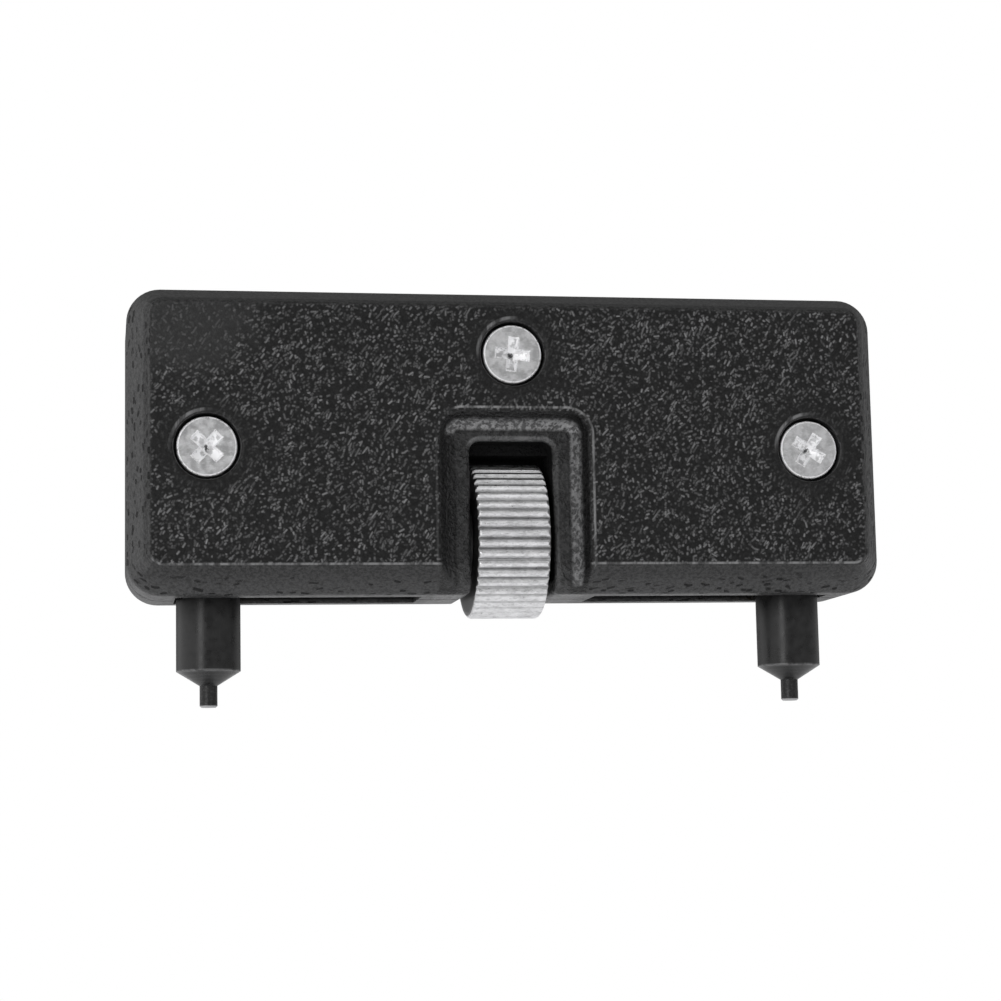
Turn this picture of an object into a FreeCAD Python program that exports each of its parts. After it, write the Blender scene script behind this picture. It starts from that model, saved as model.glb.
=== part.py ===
import FreeCAD, Part
import math
import os
from FreeCAD import Vector

# Adjustable two-claw case-back opener for watches.
# Millimetres. +X runs along the tool, +Y from its front face to its back, +Z from the claw tips to the top.
# The origin is midway between the two claw tips, on the plane where the two shells meet.

# Claws: a pressed-in pin, standing out of a coned post
POST_R = 2.9
POST_STANDOUT = 6.4
CONE_HEIGHT = 1.3
PIN_R = 0.8
PIN_STANDOUT = 1.95
PIN_SHANK_R = 0.5
PIN_SHANK_LENGTH = 3.6
PIN_TIP_CHAMFER = 0.15
CLAW_REACH = POST_STANDOUT + CONE_HEIGHT + PIN_STANDOUT
CLAW_OPEN_X = 27.1
CLAW_TRAVEL = 16.1
CLAW_CLOSED_X = CLAW_OPEN_X - CLAW_TRAVEL

# Case: two shells that meet at y = 0
CASE_LENGTH = 69.0
CASE_HEIGHT = 27.6
SHELL_DEPTH = 8.0
CASE_CORNER_R = 3.0
FACE_CORNER_R = 1.3
BEVEL_DEPTH = 3.0
BEVEL_SIDE_INSET = 1.9
BEVEL_TOP_INSET = 1.6
BEVEL_BOTTOM_INSET = 2.4
BEVEL_ROUND = 0.9
FACE_EDGE_ROUND = 0.35
SEAM_CHAMFER = 0.18
CASE_BOTTOM = CLAW_REACH
CASE_TOP = CASE_BOTTOM + CASE_HEIGHT
CASE_HALF = CASE_LENGTH / 2

# Spindle and thumb wheel, on an axis along X
AXIS_Z = CASE_BOTTOM + 5.36
THREAD_R = 1.95
SEAT_R = 2.2
SEAT_HALF = 3.8
JOURNAL_R = 1.5
JOURNAL_START = 31.4
JOURNAL_END = 33.15
WHEEL_R = 7.13
WHEEL_HALF = 3.3
WHEEL_CHAMFER = 0.4
KNURL_COUNT = 46
KNURL_DEPTH = 0.34
KNURL_CREST_SHARE = 0.34
WASHER_R = 4.0
WASHER_THICKNESS = 0.4
RUNNING_GAP = 0.05
END_GAP = 0.1

# Finger recess in each shell, and the slot through both that the wheel turns in
RECESS_HALF = 6.95
RECESS_HEIGHT = 16.45
RECESS_CORNER_R = 2.2
RECESS_DEPTH = 2.0
RECESS_DRAFT = 1.3
RECESS_FLOOR_ROUND = 1.2
RECESS_RIM_ROUND = 0.5
WHEEL_SLOT_HALF = 3.85
WHEEL_SLOT_HEIGHT = 13.9
WHEEL_SLOT_CORNER_R = 1.0
WHEEL_SLOT_RIM_ROUND = 0.45
WHEEL_ROOF_HALF = 3.2
WHEEL_ROOF_HEIGHT = 12.95

# Slot in the lower edge that each post travels along
POST_SLOT_HALF = 3.0
POST_SLOT_INNER_X = CLAW_CLOSED_X - POST_R - END_GAP
POST_SLOT_OUTER_X = 30.15

# Carriers, and the channel that guides them
CARRIER_HALF_LENGTH = 4.2
CARRIER_HALF_DEPTH = 4.6
CARRIER_HALF_HEIGHT = 4.05
CARRIER_EDGE_CHAMFER = 0.3
CHANNEL_INNER_X = 6.5
CHANNEL_OUTER_X = 31.55
CHANNEL_HALF_DEPTH = 4.7
CHANNEL_HALF_HEIGHT = 4.1
CHANNEL_ROOF = 1.5

# Bushes for the spindle's ends
BUSH_R = 3.0
BUSH_START = 31.75
BUSH_END = 33.25

# Hollow above the channel
SHELL_WALL = 2.2
HOLLOW_SURROUND_HALF = 7.6
HOLLOW_SURROUND_HEIGHT = 17.5
HOLLOW_CORNER_R = 1.5

# Shell screws and their inserts: (name, x, height above the case's lower edge, turn of the recess)
SCREW_SIDE_X = 27.5
SCREW_SIDE_HEIGHT = 13.0
SCREW_TOP_HEIGHT = 21.6
SCREWS = [
    ("left", -SCREW_SIDE_X, SCREW_SIDE_HEIGHT, 43.0),
    ("right", SCREW_SIDE_X, SCREW_SIDE_HEIGHT, 33.0),
    ("top", 0.0, SCREW_TOP_HEIGHT, 6.0),
]
HEAD_R = 2.7
HEAD_THICKNESS = 1.6
HEAD_SINK = 0.45
HEAD_CHAMFER = 0.25
HEAD_OVERLAP = 0.5
COUNTERBORE_R = 2.95
COUNTERBORE_ROUND = 0.35
SCREW_LENGTH = 12.0
SCREW_R = 1.45
SCREW_TIP_CHAMFER = 0.4
SCREW_HOLE_R = 1.6
CROSS_ARM_HALF_LENGTH = 1.45
CROSS_ARM_HALF_WIDTH = 0.42
CROSS_DEPTH = 1.2
CROSS_TAPER = 0.35
BOSS_R = 3.2
INSERT_R = 2.1
INSERT_BORE_R = 1.5
INSERT_START = 0.6
INSERT_LENGTH = 4.6
INSERT_GROOVE_DEPTH = 0.2
INSERT_GROOVE_LENGTH = 0.8

# Locating pegs on the front shell and their sockets in the back shell
PEG_X = 15.5
PEG_HEIGHT = 22.5
PEG_R = 1.1
PEG_LENGTH = 2.0
PEG_BOSS_R = 2.3

HEAD_SEAT_Y = -SHELL_DEPTH + HEAD_SINK + HEAD_THICKNESS
HOLLOW_DEPTH = SHELL_DEPTH - SHELL_WALL
BEYOND = 5.0
OVERCUT = 1.0
NEARBY = 0.1
BLIND_END_GAP = 0.3
ENVELOPE_GAP = 0.001
TOUCHING = 1e-6
ON_CURVE = 1e-4


def box(x0, x1, y0, y1, z0, z1):
    return Part.makeBox(x1 - x0, y1 - y0, z1 - z0, Vector(x0, y0, z0))


def rod_x(radius, x0, x1):
    """A cylinder on the spindle's axis."""
    return Part.makeCylinder(radius, x1 - x0, Vector(x0, 0, AXIS_Z), Vector(1, 0, 0))


def rod_y(radius, x, z, y0, y1):
    return Part.makeCylinder(radius, y1 - y0, Vector(x, y0, z), Vector(0, 1, 0))


def rod_z(radius, x, z0, z1):
    return Part.makeCylinder(radius, z1 - z0, Vector(x, 0, z0), Vector(0, 0, 1))


def edges_where(shape, test):
    """The edges whose every sampled point passes test."""
    found = []
    for edge in shape.Edges:
        first, last = edge.ParameterRange
        points = [edge.valueAt(first + (last - first) * step / 4) for step in range(5)]
        if all(test(point) for point in points):
            found.append(edge)
    return found


def slab(half_x, z0, z1, y0, y1, corner_r):
    """A plate across Y with four rounded corners."""
    plate = box(-half_x, half_x, y0, y1, z0, z1)
    upright = edges_where(
        plate, lambda p: abs(abs(p.x) - half_x) < TOUCHING and min(abs(p.z - z0), abs(p.z - z1)) < TOUCHING
    )
    return plate.makeFillet(corner_r, upright)


def mirrored_to_back(shape):
    return shape.mirror(Vector(0, 0, 0), Vector(0, 1, 0))


def mirrored_to_right(shape):
    return shape.mirror(Vector(0, 0, 0), Vector(1, 0, 0))


def rounded_outline(half_x, z0, z1, y, corner_r):
    """A closed outline across Y at depth y, with four round corners."""
    plate = slab(half_x, z0, z1, y, y + OVERCUT, corner_r)
    return next(face.OuterWire for face in plate.Faces if face.BoundBox.YMax < y + TOUCHING)


def shell_blank():
    """A solid half case at y < 0, bevelled all round its face."""
    bevel_y = BEVEL_DEPTH - SHELL_DEPTH
    rim = rounded_outline(CASE_HALF, CASE_BOTTOM, CASE_TOP, bevel_y, CASE_CORNER_R)
    face = rounded_outline(
        CASE_HALF - BEVEL_SIDE_INSET,
        CASE_BOTTOM + BEVEL_BOTTOM_INSET,
        CASE_TOP - BEVEL_TOP_INSET,
        -SHELL_DEPTH,
        FACE_CORNER_R,
    )
    walls = Part.Face(rim).extrude(Vector(0, -bevel_y, 0))
    blank = walls.fuse(Part.makeLoft([rim, face], True, True)).removeSplitter()
    blank = blank.makeFillet(BEVEL_ROUND, edges_where(blank, lambda p: abs(p.y - bevel_y) < TOUCHING))
    face_edges = edges_where(blank, lambda p: abs(p.y + SHELL_DEPTH) < TOUCHING)
    blank = blank.makeFillet(FACE_EDGE_ROUND, face_edges)
    seam_edges = edges_where(blank, lambda p: abs(p.y) < TOUCHING)
    return blank.makeChamfer(SEAM_CHAMFER, seam_edges)


def finger_recess():
    """The drafted pocket around the wheel, open at the case's lower edge."""
    top = CASE_BOTTOM + RECESS_HEIGHT
    floor_y = RECESS_DEPTH - SHELL_DEPTH
    outside_y = -SHELL_DEPTH - OVERCUT
    pocket = slab(RECESS_HALF, CASE_BOTTOM - BEYOND, top, outside_y, floor_y, RECESS_CORNER_R)
    floor_edges = edges_where(pocket, lambda p: abs(p.y - floor_y) < TOUCHING)
    pocket = pocket.makeChamfer(RECESS_DEPTH, RECESS_DRAFT, floor_edges)
    floor_edges = edges_where(pocket, lambda p: abs(p.y - floor_y) < TOUCHING)
    return pocket.makeFillet(RECESS_FLOOR_ROUND, floor_edges)


def wheel_slot():
    """Open through both shells, with a lower roof close over the wheel in the middle."""
    low = CASE_BOTTOM - BEYOND
    top = CASE_BOTTOM + WHEEL_SLOT_HEIGHT
    reach = SHELL_DEPTH + OVERCUT
    slot = slab(WHEEL_SLOT_HALF, low, top, -reach, reach, WHEEL_SLOT_CORNER_R)
    roof_z = CASE_BOTTOM + WHEEL_ROOF_HEIGHT
    roof = box(-WHEEL_SLOT_HALF, WHEEL_SLOT_HALF, -WHEEL_ROOF_HALF, WHEEL_ROOF_HALF, roof_z, top)
    return slot.cut(roof)


def post_slot(side):
    x0, x1 = sorted((side * POST_SLOT_INNER_X, side * POST_SLOT_OUTER_X))
    return box(x0, x1, -POST_SLOT_HALF, POST_SLOT_HALF, CASE_BOTTOM - BEYOND, AXIS_Z)


def carrier_channel(side):
    """The guide channel, with the pocket for the spindle's bush at its outer end."""
    x0, x1 = sorted((side * CHANNEL_INNER_X, side * CHANNEL_OUTER_X))
    z0, z1 = AXIS_Z - CHANNEL_HALF_HEIGHT, AXIS_Z + CHANNEL_HALF_HEIGHT
    channel = box(x0, x1, -CHANNEL_HALF_DEPTH, CHANNEL_HALF_DEPTH, z0, z1)
    bush_x0, bush_x1 = sorted((side * (CHANNEL_OUTER_X - OVERCUT), side * BUSH_END))
    bush_pocket = rod_x(BUSH_R, bush_x0, bush_x1)
    return channel.fuse(bush_pocket)


def hollow():
    """The empty space above the guide channels, around the solid stock that holds screws and pegs."""
    half = CASE_HALF - SHELL_WALL
    low = AXIS_Z + CHANNEL_HALF_HEIGHT + CHANNEL_ROOF
    space = slab(half, low, CASE_TOP - SHELL_WALL, -HOLLOW_DEPTH, HOLLOW_DEPTH, HOLLOW_CORNER_R)
    surround_top = CASE_BOTTOM + HOLLOW_SURROUND_HEIGHT
    surround_half = HOLLOW_SURROUND_HALF
    kept = [box(-surround_half, surround_half, -SHELL_DEPTH, SHELL_DEPTH, low - OVERCUT, surround_top)]
    for _, x, height, _ in SCREWS:
        kept.append(rod_y(BOSS_R, x, CASE_BOTTOM + height, -SHELL_DEPTH, SHELL_DEPTH))
    for side in (-1, 1):
        kept.append(rod_y(PEG_BOSS_R, side * PEG_X, CASE_BOTTOM + PEG_HEIGHT, -SHELL_DEPTH, SHELL_DEPTH))
    return space.cut(kept)


def inner_space():
    """Everything that both shells leave empty around the spindle, the wheel and the carriers."""
    spaces = [wheel_slot(), hollow()]
    for side in (-1, 1):
        spaces += [post_slot(side), carrier_channel(side)]
    bore_end = CHANNEL_INNER_X + OVERCUT
    spaces.append(rod_x(THREAD_R + RUNNING_GAP, -bore_end, bore_end))
    return spaces[0].fuse(spaces[1:])


def shell_half():
    """What the front shell and the mirrored back shell share."""
    half = shell_blank().cut(finger_recess())
    rim_top = CASE_BOTTOM + RECESS_HEIGHT + NEARBY
    rim_half = RECESS_HALF + NEARBY
    on_rim = edges_where(
        half,
        lambda p: abs(p.y + SHELL_DEPTH) < TOUCHING and abs(p.x) < rim_half and p.z < rim_top,
    )
    half = half.makeFillet(RECESS_RIM_ROUND, on_rim).cut(wheel_slot())
    floor_y = RECESS_DEPTH - SHELL_DEPTH
    slot_half = WHEEL_SLOT_HALF + NEARBY
    slot_rim = edges_where(half, lambda p: abs(p.y - floor_y) < TOUCHING and abs(p.x) < slot_half)
    return half.makeFillet(WHEEL_SLOT_RIM_ROUND, slot_rim).cut(inner_space())


def front_shell():
    shell = shell_half()
    for _, x, height, _ in SCREWS:
        z = CASE_BOTTOM + height
        shell = shell.cut(rod_y(COUNTERBORE_R, x, z, -SHELL_DEPTH - OVERCUT, HEAD_SEAT_Y))
        shell = shell.cut(rod_y(SCREW_HOLE_R, x, z, -SHELL_DEPTH, OVERCUT))
    mouths = []
    for _, x, height, _ in SCREWS:
        mouths += edges_where(
            shell,
            lambda p, x=x, z=CASE_BOTTOM + height: abs(p.y + SHELL_DEPTH) < TOUCHING
            and abs(math.hypot(p.x - x, p.z - z) - COUNTERBORE_R) < ON_CURVE,
        )
    shell = shell.makeFillet(COUNTERBORE_ROUND, mouths)
    for side in (-1, 1):
        shell = shell.fuse(locating_peg(side, PEG_R, PEG_LENGTH))
    return shell.removeSplitter()


def locating_peg(side, radius, length):
    return rod_y(radius, side * PEG_X, CASE_BOTTOM + PEG_HEIGHT, -OVERCUT, length)


def back_shell():
    shell = mirrored_to_back(shell_half())
    for side in (-1, 1):
        shell = shell.cut(locating_peg(side, PEG_R + RUNNING_GAP, PEG_LENGTH + BLIND_END_GAP))
    insert_end = INSERT_START + INSERT_LENGTH
    screw_end = HEAD_SEAT_Y + SCREW_LENGTH + BLIND_END_GAP
    for _, x, height, _ in SCREWS:
        z = CASE_BOTTOM + height
        shell = shell.cut(rod_y(INSERT_R, x, z, -OVERCUT, insert_end))
        shell = shell.cut(rod_y(SCREW_HOLE_R, x, z, -OVERCUT, screw_end))
    return shell.removeSplitter()


def cross_recess(x, z, top_y, turn):
    """A tapered cross-shaped hollow in a screw head whose top lies at top_y."""
    arms = []
    for quarter in (0, 90):
        outline = []
        for depth, shrink in ((-NEARBY, 0.0), (CROSS_DEPTH, CROSS_TAPER)):
            length = CROSS_ARM_HALF_LENGTH - 2 * shrink
            width = CROSS_ARM_HALF_WIDTH - shrink / 2
            corners = [(-length, -width), (length, -width), (length, width), (-length, width)]
            points = [Vector(x + u, top_y + depth, z + v) for u, v in corners]
            outline.append(Part.makePolygon(points + points[:1]))
        arm = Part.makeLoft(outline, True, True)
        arm.rotate(Vector(x, 0, z), Vector(0, 1, 0), quarter + turn)
        arms.append(arm)
    return arms[0].fuse(arms[1])


def shell_screw(x, height, turn):
    z = CASE_BOTTOM + height
    top_y = -SHELL_DEPTH + HEAD_SINK
    head = rod_y(HEAD_R, x, z, top_y, HEAD_SEAT_Y)
    rim = edges_where(head, lambda p: abs(p.y - top_y) < TOUCHING)
    head = head.makeChamfer(HEAD_CHAMFER, rim)
    tip_y = HEAD_SEAT_Y + SCREW_LENGTH
    shank = rod_y(SCREW_R, x, z, HEAD_SEAT_Y - HEAD_OVERLAP, tip_y)
    tip = edges_where(shank, lambda p: abs(p.y - tip_y) < TOUCHING)
    shank = shank.makeChamfer(SCREW_TIP_CHAMFER, tip)
    return head.fuse(shank).cut(cross_recess(x, z, top_y, turn)).removeSplitter()


def threaded_insert(x, height):
    """A brass sleeve with one waist groove that the moulded plastic fills."""
    z = CASE_BOTTOM + height
    end = INSERT_START + INSERT_LENGTH
    sleeve = rod_y(INSERT_R, x, z, INSERT_START, end)
    sleeve = sleeve.cut(rod_y(INSERT_BORE_R, x, z, INSERT_START - OVERCUT, end + OVERCUT))
    groove_y = INSERT_START + (INSERT_LENGTH - INSERT_GROOVE_LENGTH) / 2
    groove_end = groove_y + INSERT_GROOVE_LENGTH
    groove = rod_y(INSERT_R + OVERCUT, x, z, groove_y, groove_end)
    core = rod_y(INSERT_R - INSERT_GROOVE_DEPTH, x, z, groove_y - OVERCUT, groove_end + OVERCUT)
    return sleeve.cut(groove.cut(core))


def spindle():
    """One rod: the wheel's seat in the middle, a threaded length each side, a journal at each end."""
    rod = rod_x(THREAD_R, -JOURNAL_START, JOURNAL_START)
    rod = rod.fuse(rod_x(JOURNAL_R, -JOURNAL_END, JOURNAL_END))
    rod = rod.fuse(rod_x(SEAT_R, -SEAT_HALF, SEAT_HALF))
    return rod.removeSplitter()


def knurled_face():
    """The wheel's outline: straight-sided V grooves between narrow round crests."""
    pitch = 2 * math.pi / KNURL_COUNT
    crest = pitch * KNURL_CREST_SHARE / 2

    def at(radius, angle):
        return Vector(0, radius * math.cos(angle), AXIS_Z + radius * math.sin(angle))

    edges = []
    for tooth in range(KNURL_COUNT):
        middle = tooth * pitch
        start, end = at(WHEEL_R, middle - crest), at(WHEEL_R, middle + crest)
        root = at(WHEEL_R - KNURL_DEPTH, middle + pitch / 2)
        following = at(WHEEL_R, middle + pitch - crest)
        edges.append(Part.Arc(start, at(WHEEL_R, middle), end).toShape())
        edges.append(Part.makeLine(end, root))
        edges.append(Part.makeLine(root, following))
    return Part.Face(Part.Wire(edges))


def thumb_wheel():
    wheel = knurled_face().extrude(Vector(2 * WHEEL_HALF, 0, 0))
    wheel.translate(Vector(-WHEEL_HALF, 0, 0))
    envelope = rod_x(WHEEL_R + ENVELOPE_GAP, -WHEEL_HALF, WHEEL_HALF)
    rims = edges_where(envelope, lambda p: abs(abs(p.x) - WHEEL_HALF) < TOUCHING)
    wheel = wheel.common(envelope.makeChamfer(WHEEL_CHAMFER, rims))
    return wheel.cut(rod_x(SEAT_R, -WHEEL_HALF - OVERCUT, WHEEL_HALF + OVERCUT))


def thrust_washer(side):
    gap = (SEAT_HALF - WHEEL_HALF - WASHER_THICKNESS) / 2
    x0, x1 = sorted((side * (WHEEL_HALF + gap), side * (WHEEL_HALF + gap + WASHER_THICKNESS)))
    return rod_x(WASHER_R, x0, x1).cut(rod_x(SEAT_R + RUNNING_GAP, x0 - OVERCUT, x1 + OVERCUT))


def spindle_bush(side):
    x0, x1 = sorted((side * BUSH_START, side * BUSH_END))
    return rod_x(BUSH_R, x0, x1).cut(rod_x(JOURNAL_R + RUNNING_GAP, x0 - OVERCUT, x1 + OVERCUT))


def left_carrier():
    """The sliding nut block, bored upright for its post and along X for the spindle."""
    x0, x1 = -CLAW_OPEN_X - CARRIER_HALF_LENGTH, -CLAW_OPEN_X + CARRIER_HALF_LENGTH
    z0, z1 = AXIS_Z - CARRIER_HALF_HEIGHT, AXIS_Z + CARRIER_HALF_HEIGHT
    block = box(x0, x1, -CARRIER_HALF_DEPTH, CARRIER_HALF_DEPTH, z0, z1)
    block = block.makeChamfer(CARRIER_EDGE_CHAMFER, block.Edges)
    block = block.cut(rod_z(POST_R, -CLAW_OPEN_X, z0 - OVERCUT, z1 + OVERCUT))
    return block.cut(rod_x(THREAD_R + RUNNING_GAP, x0 - OVERCUT, x1 + OVERCUT))


def left_post():
    """A turned post with a coned end, cross-bored with its carrier for the spindle."""
    cone_z = CASE_BOTTOM - POST_STANDOUT
    post = rod_z(POST_R, -CLAW_OPEN_X, cone_z, AXIS_Z + CARRIER_HALF_HEIGHT - CARRIER_EDGE_CHAMFER)
    cone = Part.makeCone(PIN_R, POST_R, CONE_HEIGHT, Vector(-CLAW_OPEN_X, 0, cone_z - CONE_HEIGHT))
    post = post.fuse(cone)
    bore_half = POST_R + OVERCUT
    bore = rod_x(THREAD_R + RUNNING_GAP, -CLAW_OPEN_X - bore_half, -CLAW_OPEN_X + bore_half)
    post = post.cut(bore)
    return post.cut(rod_z(PIN_SHANK_R, -CLAW_OPEN_X, 0, PIN_STANDOUT + PIN_SHANK_LENGTH)).removeSplitter()


def left_claw_pin():
    """The working tip, on a thinner shank that is pressed up into the post."""
    tip = rod_z(PIN_R, -CLAW_OPEN_X, 0, PIN_STANDOUT)
    tip = tip.makeChamfer(PIN_TIP_CHAMFER, edges_where(tip, lambda p: abs(p.z) < TOUCHING))
    shank = rod_z(PIN_SHANK_R, -CLAW_OPEN_X, PIN_STANDOUT / 2, PIN_STANDOUT + PIN_SHANK_LENGTH)
    return tip.fuse(shank).removeSplitter()


def all_parts():
    parts = {
        "front_shell": front_shell(),
        "back_shell": back_shell(),
        "spindle": spindle(),
        "thumb_wheel": thumb_wheel(),
        "left_carrier": left_carrier(),
        "left_post": left_post(),
        "left_claw_pin": left_claw_pin(),
    }
    for name, x, height, turn in SCREWS:
        parts["shell_screw_" + name] = shell_screw(x, height, turn)
        parts["threaded_insert_" + name] = threaded_insert(x, height)
    for name, side in (("left", -1), ("right", 1)):
        parts["thrust_washer_" + name] = thrust_washer(side)
        parts["spindle_bush_" + name] = spindle_bush(side)
    for name in ("carrier", "post", "claw_pin"):
        parts["right_" + name] = mirrored_to_right(parts["left_" + name])
    return parts


os.makedirs("parts", exist_ok=True)
for name, shape in all_parts().items():
    solids = shape.Solids
    assert shape.isValid() and len(solids) == 1, name
    solids[0].exportStep("parts/" + name + ".step")
    print(name, round(shape.Volume, 2))
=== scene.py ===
import math
import random
from collections import namedtuple
from types import SimpleNamespace

import bpy
from mathutils import Matrix, Vector, noise


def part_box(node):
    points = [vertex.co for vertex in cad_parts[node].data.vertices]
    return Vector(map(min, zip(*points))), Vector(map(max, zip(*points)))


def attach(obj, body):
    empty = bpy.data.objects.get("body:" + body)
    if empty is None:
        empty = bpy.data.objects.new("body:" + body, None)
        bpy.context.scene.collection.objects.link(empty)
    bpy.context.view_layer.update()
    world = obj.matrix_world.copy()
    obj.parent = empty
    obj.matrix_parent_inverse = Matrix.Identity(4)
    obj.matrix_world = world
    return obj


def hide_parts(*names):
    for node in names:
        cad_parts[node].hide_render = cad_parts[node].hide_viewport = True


# Looks for the two-claw case-back opener. The CAD frame fixes every place and size.
# Lengths in the constants are millimetres; MM turns them into the frame's metres.
# The tool's front face looks along -Y, and its claws point along -Z.
MM = 0.001

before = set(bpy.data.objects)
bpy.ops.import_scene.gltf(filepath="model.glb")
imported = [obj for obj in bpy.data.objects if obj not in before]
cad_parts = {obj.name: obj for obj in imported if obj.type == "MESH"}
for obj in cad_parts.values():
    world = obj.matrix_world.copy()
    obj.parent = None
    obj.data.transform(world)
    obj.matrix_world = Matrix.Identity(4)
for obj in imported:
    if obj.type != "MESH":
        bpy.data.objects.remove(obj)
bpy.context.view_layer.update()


def box_mm(node):
    """The lowest and highest corner of a CAD node in millimetres."""
    low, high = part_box(node)
    return low / MM, high / MM


SHELL_LOW, SHELL_HIGH = box_mm("front_shell")
WHEEL_LOW, WHEEL_HIGH = box_mm("thumb_wheel")
CASE_BOTTOM = SHELL_LOW.z
WHEEL_HALF = WHEEL_HIGH.x
WHEEL_R = (WHEEL_HIGH.z - WHEEL_LOW.z) / 2
AXIS_Z = (WHEEL_LOW.z + WHEEL_HIGH.z) / 2
SPINDLE_END = box_mm("spindle")[1].x
SCREW_NODES = ("shell_screw_left", "shell_screw_right", "shell_screw_top")

# Camera: placed round the middle of the case, looking a little below it
CAMERA_AZIMUTH = -9.785
CAMERA_ELEVATION = -8.596
CAMERA_ROLL = -1.141
CAMERA_DISTANCE = 220.0
CAMERA_LENS = 84.86
CAMERA_CLIP_M = (0.01, 20.0)
CAMERA_CENTRE = Vector((0.0, 0.0, 23.65))
CAMERA_AIM = Vector((-0.07, 0.0, 18.87))

# Light: (name, azimuth, elevation, distance, width, height, power in watts)
SOFTBOXES = (
    ("key", -33.0, 12.0, 420.0, 110.0, 330.0, 0.46),
    ("fill", 25.0, 25.0, 600.0, 400.0, 400.0, 0.36),
)
# Light tent: a direction's part along an axis, from and to, and the brightness at either end
TENT_AHEAD = (0.5, 0.95, 0.75, 0.16)
TENT_ACROSS = (-1.0, 1.0, 1.7, 0.5)
TENT_ABOVE = (0.0, 1.0, 1.0, 0.45)
FLOOR_HALF = 6000.0
FLOOR_NOISE = (300.0, 2.0)
FLOOR_TONES = (0.78, 0.82)
FLOOR_ROUGHNESS = 0.6
FLOOR_GLOW = 0.5

# Rectangles with round corners on the front of the shell, as x and z limits
Outline = namedtuple("Outline", "low_x high_x low_z high_z corner")
FACE_SIDE_INSET = 1.9
FACE_TOP_INSET = 1.6
FACE_BOTTOM_INSET = 2.4
FACE_CORNER_R = 1.3
RECESS_HALF = 6.95
RECESS_HEIGHT = 16.45
RECESS_CORNER_R = 2.2
WHEEL_SLOT_HALF = 3.85
WHEEL_SLOT_HEIGHT = 13.9
WHEEL_SLOT_CORNER_R = 1.0
FACE = Outline(
    SHELL_LOW.x + FACE_SIDE_INSET,
    SHELL_HIGH.x - FACE_SIDE_INSET,
    SHELL_LOW.z + FACE_BOTTOM_INSET,
    SHELL_HIGH.z - FACE_TOP_INSET,
    FACE_CORNER_R,
)
RECESS = Outline(
    -RECESS_HALF, RECESS_HALF, CASE_BOTTOM - RECESS_HEIGHT, CASE_BOTTOM + RECESS_HEIGHT, RECESS_CORNER_R
)
WHEEL_SLOT = Outline(
    -WHEEL_SLOT_HALF,
    WHEEL_SLOT_HALF,
    CASE_BOTTOM - WHEEL_SLOT_HEIGHT,
    CASE_BOTTOM + WHEEL_SLOT_HEIGHT,
    WHEEL_SLOT_CORNER_R,
)

# Inside of the case: the walls of the wheel slot, and of the channels behind the post slots
WALL_SKIN = 0.1
CHANNEL_HALF_DEPTH = 4.9
CHANNEL_INNER_X = 6.0
CHANNEL_OUTER_X = 31.6
CHANNEL_TOP = 10.0
COUNTERBORE_R = 2.95

# Thumb wheel: the knurl's teeth differ a little in depth and place. Its rounded edge is a row of points,
# each (in from the side, out from the rim); its stations are shares of its half width
KNURLS = 46
KNURL_DEPTH = 0.4
KNURL_STEPS = 14
KNURL_SEED = 11
KNURL_SIZES = (0.86, 1.0)
KNURL_SHIFT = 0.05
KNURL_SHIFT_SHARE = 0.3
KNURL_CREST_HALF = 0.13
KNURL_FLANK = 0.37
WHEEL_EDGE = 0.24
WHEEL_EDGE_ROUND = ((0.0, -0.03), (0.04, 0.04), (0.12, 0.144), (0.204, 0.19), (0.264, 0.24))
WHEEL_STATIONS = (0.66, 0.33)
WHEEL_FACE_STEP = 0.5
WHEEL_BORE_R = 2.2
WHEEL_BORE_CHAMFER = (0.12, 0.15)
WHEEL_SHARP = 0.5

# Top of the cone at the end of each post
CLAW_CONE_TOP = 3.25

# Spindle threads, opposite hands from the middle
THREAD_PITCH = 0.7
THREAD_DEPTH = 0.36
THREAD_CREST_R = 1.95
THREAD_CREST_POWER = 1.3
THREAD_RUN_IN = 0.7
THREAD_RUN_OUT = 0.5
THREAD_END_GAP = 0.2
THREAD_END_CHAMFER = 0.25
STEPS_PER_PITCH = 8
SEAT_R = 2.2
SEAT_HALF = 3.8
SEAT_CHAMFER = 0.1
JOURNAL_R = 1.5
JOURNAL_START = 31.4
JOURNAL_CHAMFER = 0.15
SPINDLE_SIDES = 40
SPINDLE_SHARP = 0.9

# Shell screws: head, shank and worn cross recess. The head's rounded edge is a row of points, each
# (in from the side, down from the top)
HEAD_THICKNESS = 1.6
HEAD_EDGE = 0.22
HEAD_EDGE_ROUND = ((0.121, 0.035), (0.044, 0.11), (0.0, 0.3))
HEAD_SEAT_CHAMFER = 0.05
HEAD_SINK = 0.02
HEAD_SIDES = 144
HEAD_RINGS = 64
HEAD_WEAR = 0.018
HEAD_WEAR_PER_MM = 1.7
HEAD_WEAR_LAYER = 3.0
HEAD_WEAR_POWER = 8
SHANK_R = 1.45
SHANK_PITCH = 1.0
SHANK_THREAD_DEPTH = 0.3
SHANK_PLAIN_LENGTH = 2.0
SHANK_RUN_IN = 0.8
SHANK_RUN_OUT = 0.9
SHANK_TIP_LENGTH = 0.5
SHANK_TIP_CHAMFER = 0.4
SCREW_SHARP = 0.7
CROSS_REACH = 1.5
CROSS_HALF_WIDTH = 0.4
CROSS_WIDENING = 0.12
CROSS_CORNER = 0.15
CROSS_WALL = 0.16
CROSS_DEPTH_MIDDLE = 1.15
CROSS_DEPTH_END = 0.38
CROSS_TURNS = {"shell_screw_left": 43.0, "shell_screw_right": 33.0, "shell_screw_top": 6.0}

# Names of look settings, below, end in what they hold:
# NOISE: size of the lumps in millimetres, detail, roughness
# STEP: the two values a smooth step runs between, then, if given, the levels it runs between
# BAND: middle and half width of a soft line
# TONE: grey, as linear reflectance. SHARE: how much of something is mixed in


# ------------------------ node graphs

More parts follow.
